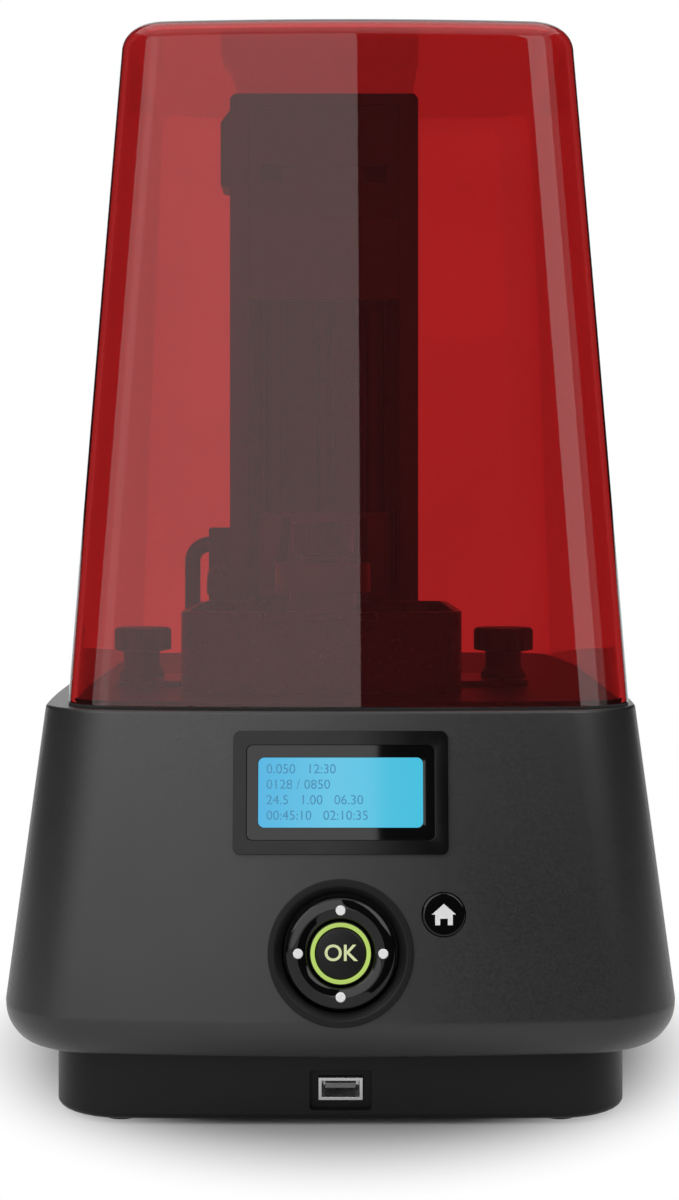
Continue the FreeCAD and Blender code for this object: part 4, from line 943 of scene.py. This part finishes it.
class PRINTER_OT_stage(bpy.types.Operator):
    """Sets the floor, the light and the camera"""

    bl_idname = "printer.stage"
    bl_label = "Stage"

    def execute(self, context):
        self.floor()
        self.world(context.scene)
        self.lights()
        self.cards()
        self.camera(context.scene)
        context.scene.view_settings.view_transform = "Standard"
        return {"FINISHED"}

    def seen(self, nodes, links):
        """1 on rays that show the background: camera, glossy and transmission."""
        path = nodes.new("ShaderNodeLightPath")
        total = path.outputs["Is Camera Ray"]
        for other in ("Is Glossy Ray", "Is Transmission Ray"):
            most = nodes.new("ShaderNodeMath")
            most.operation = "MAXIMUM"
            links.new(total, most.inputs[0])
            links.new(path.outputs[other], most.inputs[1])
            total = most.outputs["Value"]
        return total

    def floor(self):
        """Pale floor: matt round the foot, where it keeps the shadow, and white beyond."""
        drop = 0.2 * MM
        matt_to, white_from = 1.0, 1.55
        bm = bmesh.new()
        bmesh.ops.create_grid(bm, x_segments=8, y_segments=8, size=4.0)
        bmesh.ops.translate(bm, vec=(0, 0, -drop), verts=bm.verts)
        floor = loose_object(bm, "floor")
        material, nodes, links, shader = new_material("pale_floor")
        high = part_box("base_tray")[1]
        place = nodes.new("ShaderNodeTexCoord")
        feet = nodes.new("ShaderNodeMapping")
        feet.inputs["Scale"].default_value = (1 / high.x, 1 / high.y, 1)
        links.new(place.outputs["Object"], feet.inputs["Vector"])
        far = nodes.new("ShaderNodeVectorMath")
        far.operation = "LENGTH"
        links.new(feet.outputs["Vector"], far.inputs[0])
        span = nodes.new("ShaderNodeMapRange")
        span.interpolation_type = "SMOOTHSTEP"
        span.inputs["From Min"].default_value = matt_to
        span.inputs["From Max"].default_value = white_from
        links.new(far.outputs["Value"], span.inputs["Value"])
        matt = nodes.new("ShaderNodeBsdfDiffuse")
        matt.inputs["Color"].default_value = (0.50, 0.50, 0.50, 1)
        glow = nodes.new("ShaderNodeEmission")
        links.new(self.seen(nodes, links), glow.inputs["Strength"])
        mix = nodes.new("ShaderNodeMixShader")
        links.new(span.outputs["Result"], mix.inputs["Fac"])
        links.new(matt.outputs["BSDF"], mix.inputs[1])
        links.new(glow.outputs["Emission"], mix.inputs[2])
        links.new(mix.outputs["Shader"], nodes["Material Output"].inputs["Surface"])
        nodes.remove(shader)
        floor.data.materials.append(material)

    def world(self, scene):
        """White where it is seen, and a softer light on matt surfaces."""
        world = bpy.data.worlds.new("studio")
        world.use_nodes = True
        scene.world = world
        nodes, links = world.node_tree.nodes, world.node_tree.links
        background = nodes["Background"]
        background.inputs["Color"].default_value = (1, 1, 1, 1)
        span = nodes.new("ShaderNodeMapRange")
        span.inputs["To Min"].default_value = 0.70
        span.inputs["To Max"].default_value = 1.0
        links.new(self.seen(nodes, links), span.inputs["Value"])
        links.new(span.outputs["Result"], background.inputs["Strength"])

    def facing(self, place, aim):
        """Turn that points local -Z from a place to an aim."""
        return (Vector(aim) - Vector(place)).to_track_quat("-Z", "Y")

    def lights(self):
        """Three soft lamps: in front at the left, at the left and above."""
        for name, place, aim, size, power in (
                ("soft_box", (-0.51, -1.50, 1.35), (-0.51, 0.0, 1.35), (1.10, 2.40), 12.4),
                ("strip_left", (-1.28, -1.03, 1.40), (0.0, -0.10, 1.40), (0.95, 1.60), 10.8),
                ("top_box", (0.0, 0.10, 1.60), (0.0, 0.10, 0.0), (1.40, 1.40), 3.0)):
            lamp = bpy.data.lights.new(name, "AREA")
            lamp.shape = "RECTANGLE"
            lamp.size, lamp.size_y = size
            lamp.energy = power
            thing = bpy.data.objects.new(name, lamp)
            thing.location = place
            thing.rotation_euler = self.facing(place, aim).to_euler()
            bpy.context.scene.collection.objects.link(thing)

    def cards(self):
        """Cards that show in reflections only: dark ones, and a bright one in front at the right."""
        dark, _, _, shader = new_material("dark_card")
        shader.inputs["Base Color"].default_value = (0.0, 0.0, 0.0, 1)
        shader.inputs["Specular IOR Level"].default_value = 0.0
        bright, _, _, shader = new_material("bright_card")
        shader.inputs["Base Color"].default_value = (0.0, 0.0, 0.0, 1)
        shader.inputs["Emission Color"].default_value = (1.0, 1.0, 1.0, 1)
        shader.inputs["Emission Strength"].default_value = 3.2
        for name, place, aim, size, material in (
                ("card_front", (0.35, -1.52, 1.20), (0.35, 0.0, 1.20), (0.31, 1.40), dark),
                ("card_front_low", (1.525, -1.53, 0.175), (1.525, 0.0, 0.175), (1.025, 0.375), dark),
                ("card_front_right", (1.13, -1.35, 1.60), (0.20, 0.0, 1.60), (0.52, 1.05), bright),
                ("card_back_left", (-1.60, 1.70, 1.45), (-1.60, 0.0, 1.45), (0.80, 1.15), dark),
                ("card_back_right", (1.60, 1.70, 1.45), (1.60, 0.0, 1.45), (0.80, 1.15), dark),
                ("card_low", (0.75, -0.90, 0.004), (0.75, -0.90, 1.0), (0.70, 0.60), dark),
                ("card_left", (-1.60, 0.275, 1.0), (0.0, 0.275, 1.0), (1.475, 1.1), dark),
                ("card_right", (1.60, 0.625, 1.0), (0.0, 0.625, 1.0), (1.125, 1.1), dark),
                ("card_right_low", (1.60, -1.0, 0.175), (0.0, -1.0, 0.175), (0.52, 0.375), dark)):
            bm = bmesh.new()
            bmesh.ops.create_grid(bm, x_segments=1, y_segments=1, size=1.0)
            bmesh.ops.scale(bm, vec=(*size, 1.0), verts=bm.verts)
            turn = self.facing(place, aim).to_matrix().to_4x4()
            card = loose_object(moved(bm, Matrix.Translation(place) @ turn), name)
            card.data.materials.append(material)
            card.visible_camera = False
            card.visible_diffuse = False
            card.visible_transmission = False
            card.visible_shadow = False

    def camera(self, scene):
        """Level camera at the photograph's distance and height, framed on 679 by 1200 pixels."""
        frame_h, focal_px, horizon_px = 1200.0, 1928.0, 530.0
        eye = (-0.4 * MM, -862.4 * MM, 220 * MM)
        lens = bpy.data.cameras.new("camera")
        lens.sensor_width = 36.0
        lens.lens = focal_px / frame_h * lens.sensor_width
        lens.shift_y = (horizon_px - frame_h / 2) / frame_h
        thing = bpy.data.objects.new("camera", lens)
        thing.location = eye
        thing.rotation_euler = (math.pi / 2, 0, 0)
        scene.collection.objects.link(thing)
        scene.camera = thing


STEPS = (PRINTER_OT_housing, PRINTER_OT_hood, PRINTER_OT_display, PRINTER_OT_keypad, PRINTER_OT_fittings,
         PRINTER_OT_stage)


class PRINTER_PT_panel(bpy.types.Panel):
    """Lists the steps that build the printer's looks"""

    bl_idname = "PRINTER_PT_panel"
    bl_label = "Resin printer"
    bl_space_type = "VIEW_3D"
    bl_region_type = "UI"
    bl_category = "Printer"

    def draw(self, context):
        for step in STEPS:
            self.layout.operator(step.bl_idname)


CLASSES = (PrinterSizes, PrinterColours, *STEPS, PRINTER_PT_panel)


def register():
    for cls in CLASSES:
        bpy.utils.register_class(cls)
    bpy.types.Scene.printer_sizes = PointerProperty(type=PrinterSizes)
    bpy.types.Scene.printer_colours = PointerProperty(type=PrinterColours)


def unregister():
    del bpy.types.Scene.printer_colours
    del bpy.types.Scene.printer_sizes
    for cls in reversed(CLASSES):
        bpy.utils.unregister_class(cls)


def main():
    register()
    bpy.ops.printer.housing()
    bpy.ops.printer.hood()
    bpy.ops.printer.display()
    bpy.ops.printer.keypad()
    bpy.ops.printer.fittings()
    bpy.ops.printer.stage()


if __name__ == "__main__":
    main()
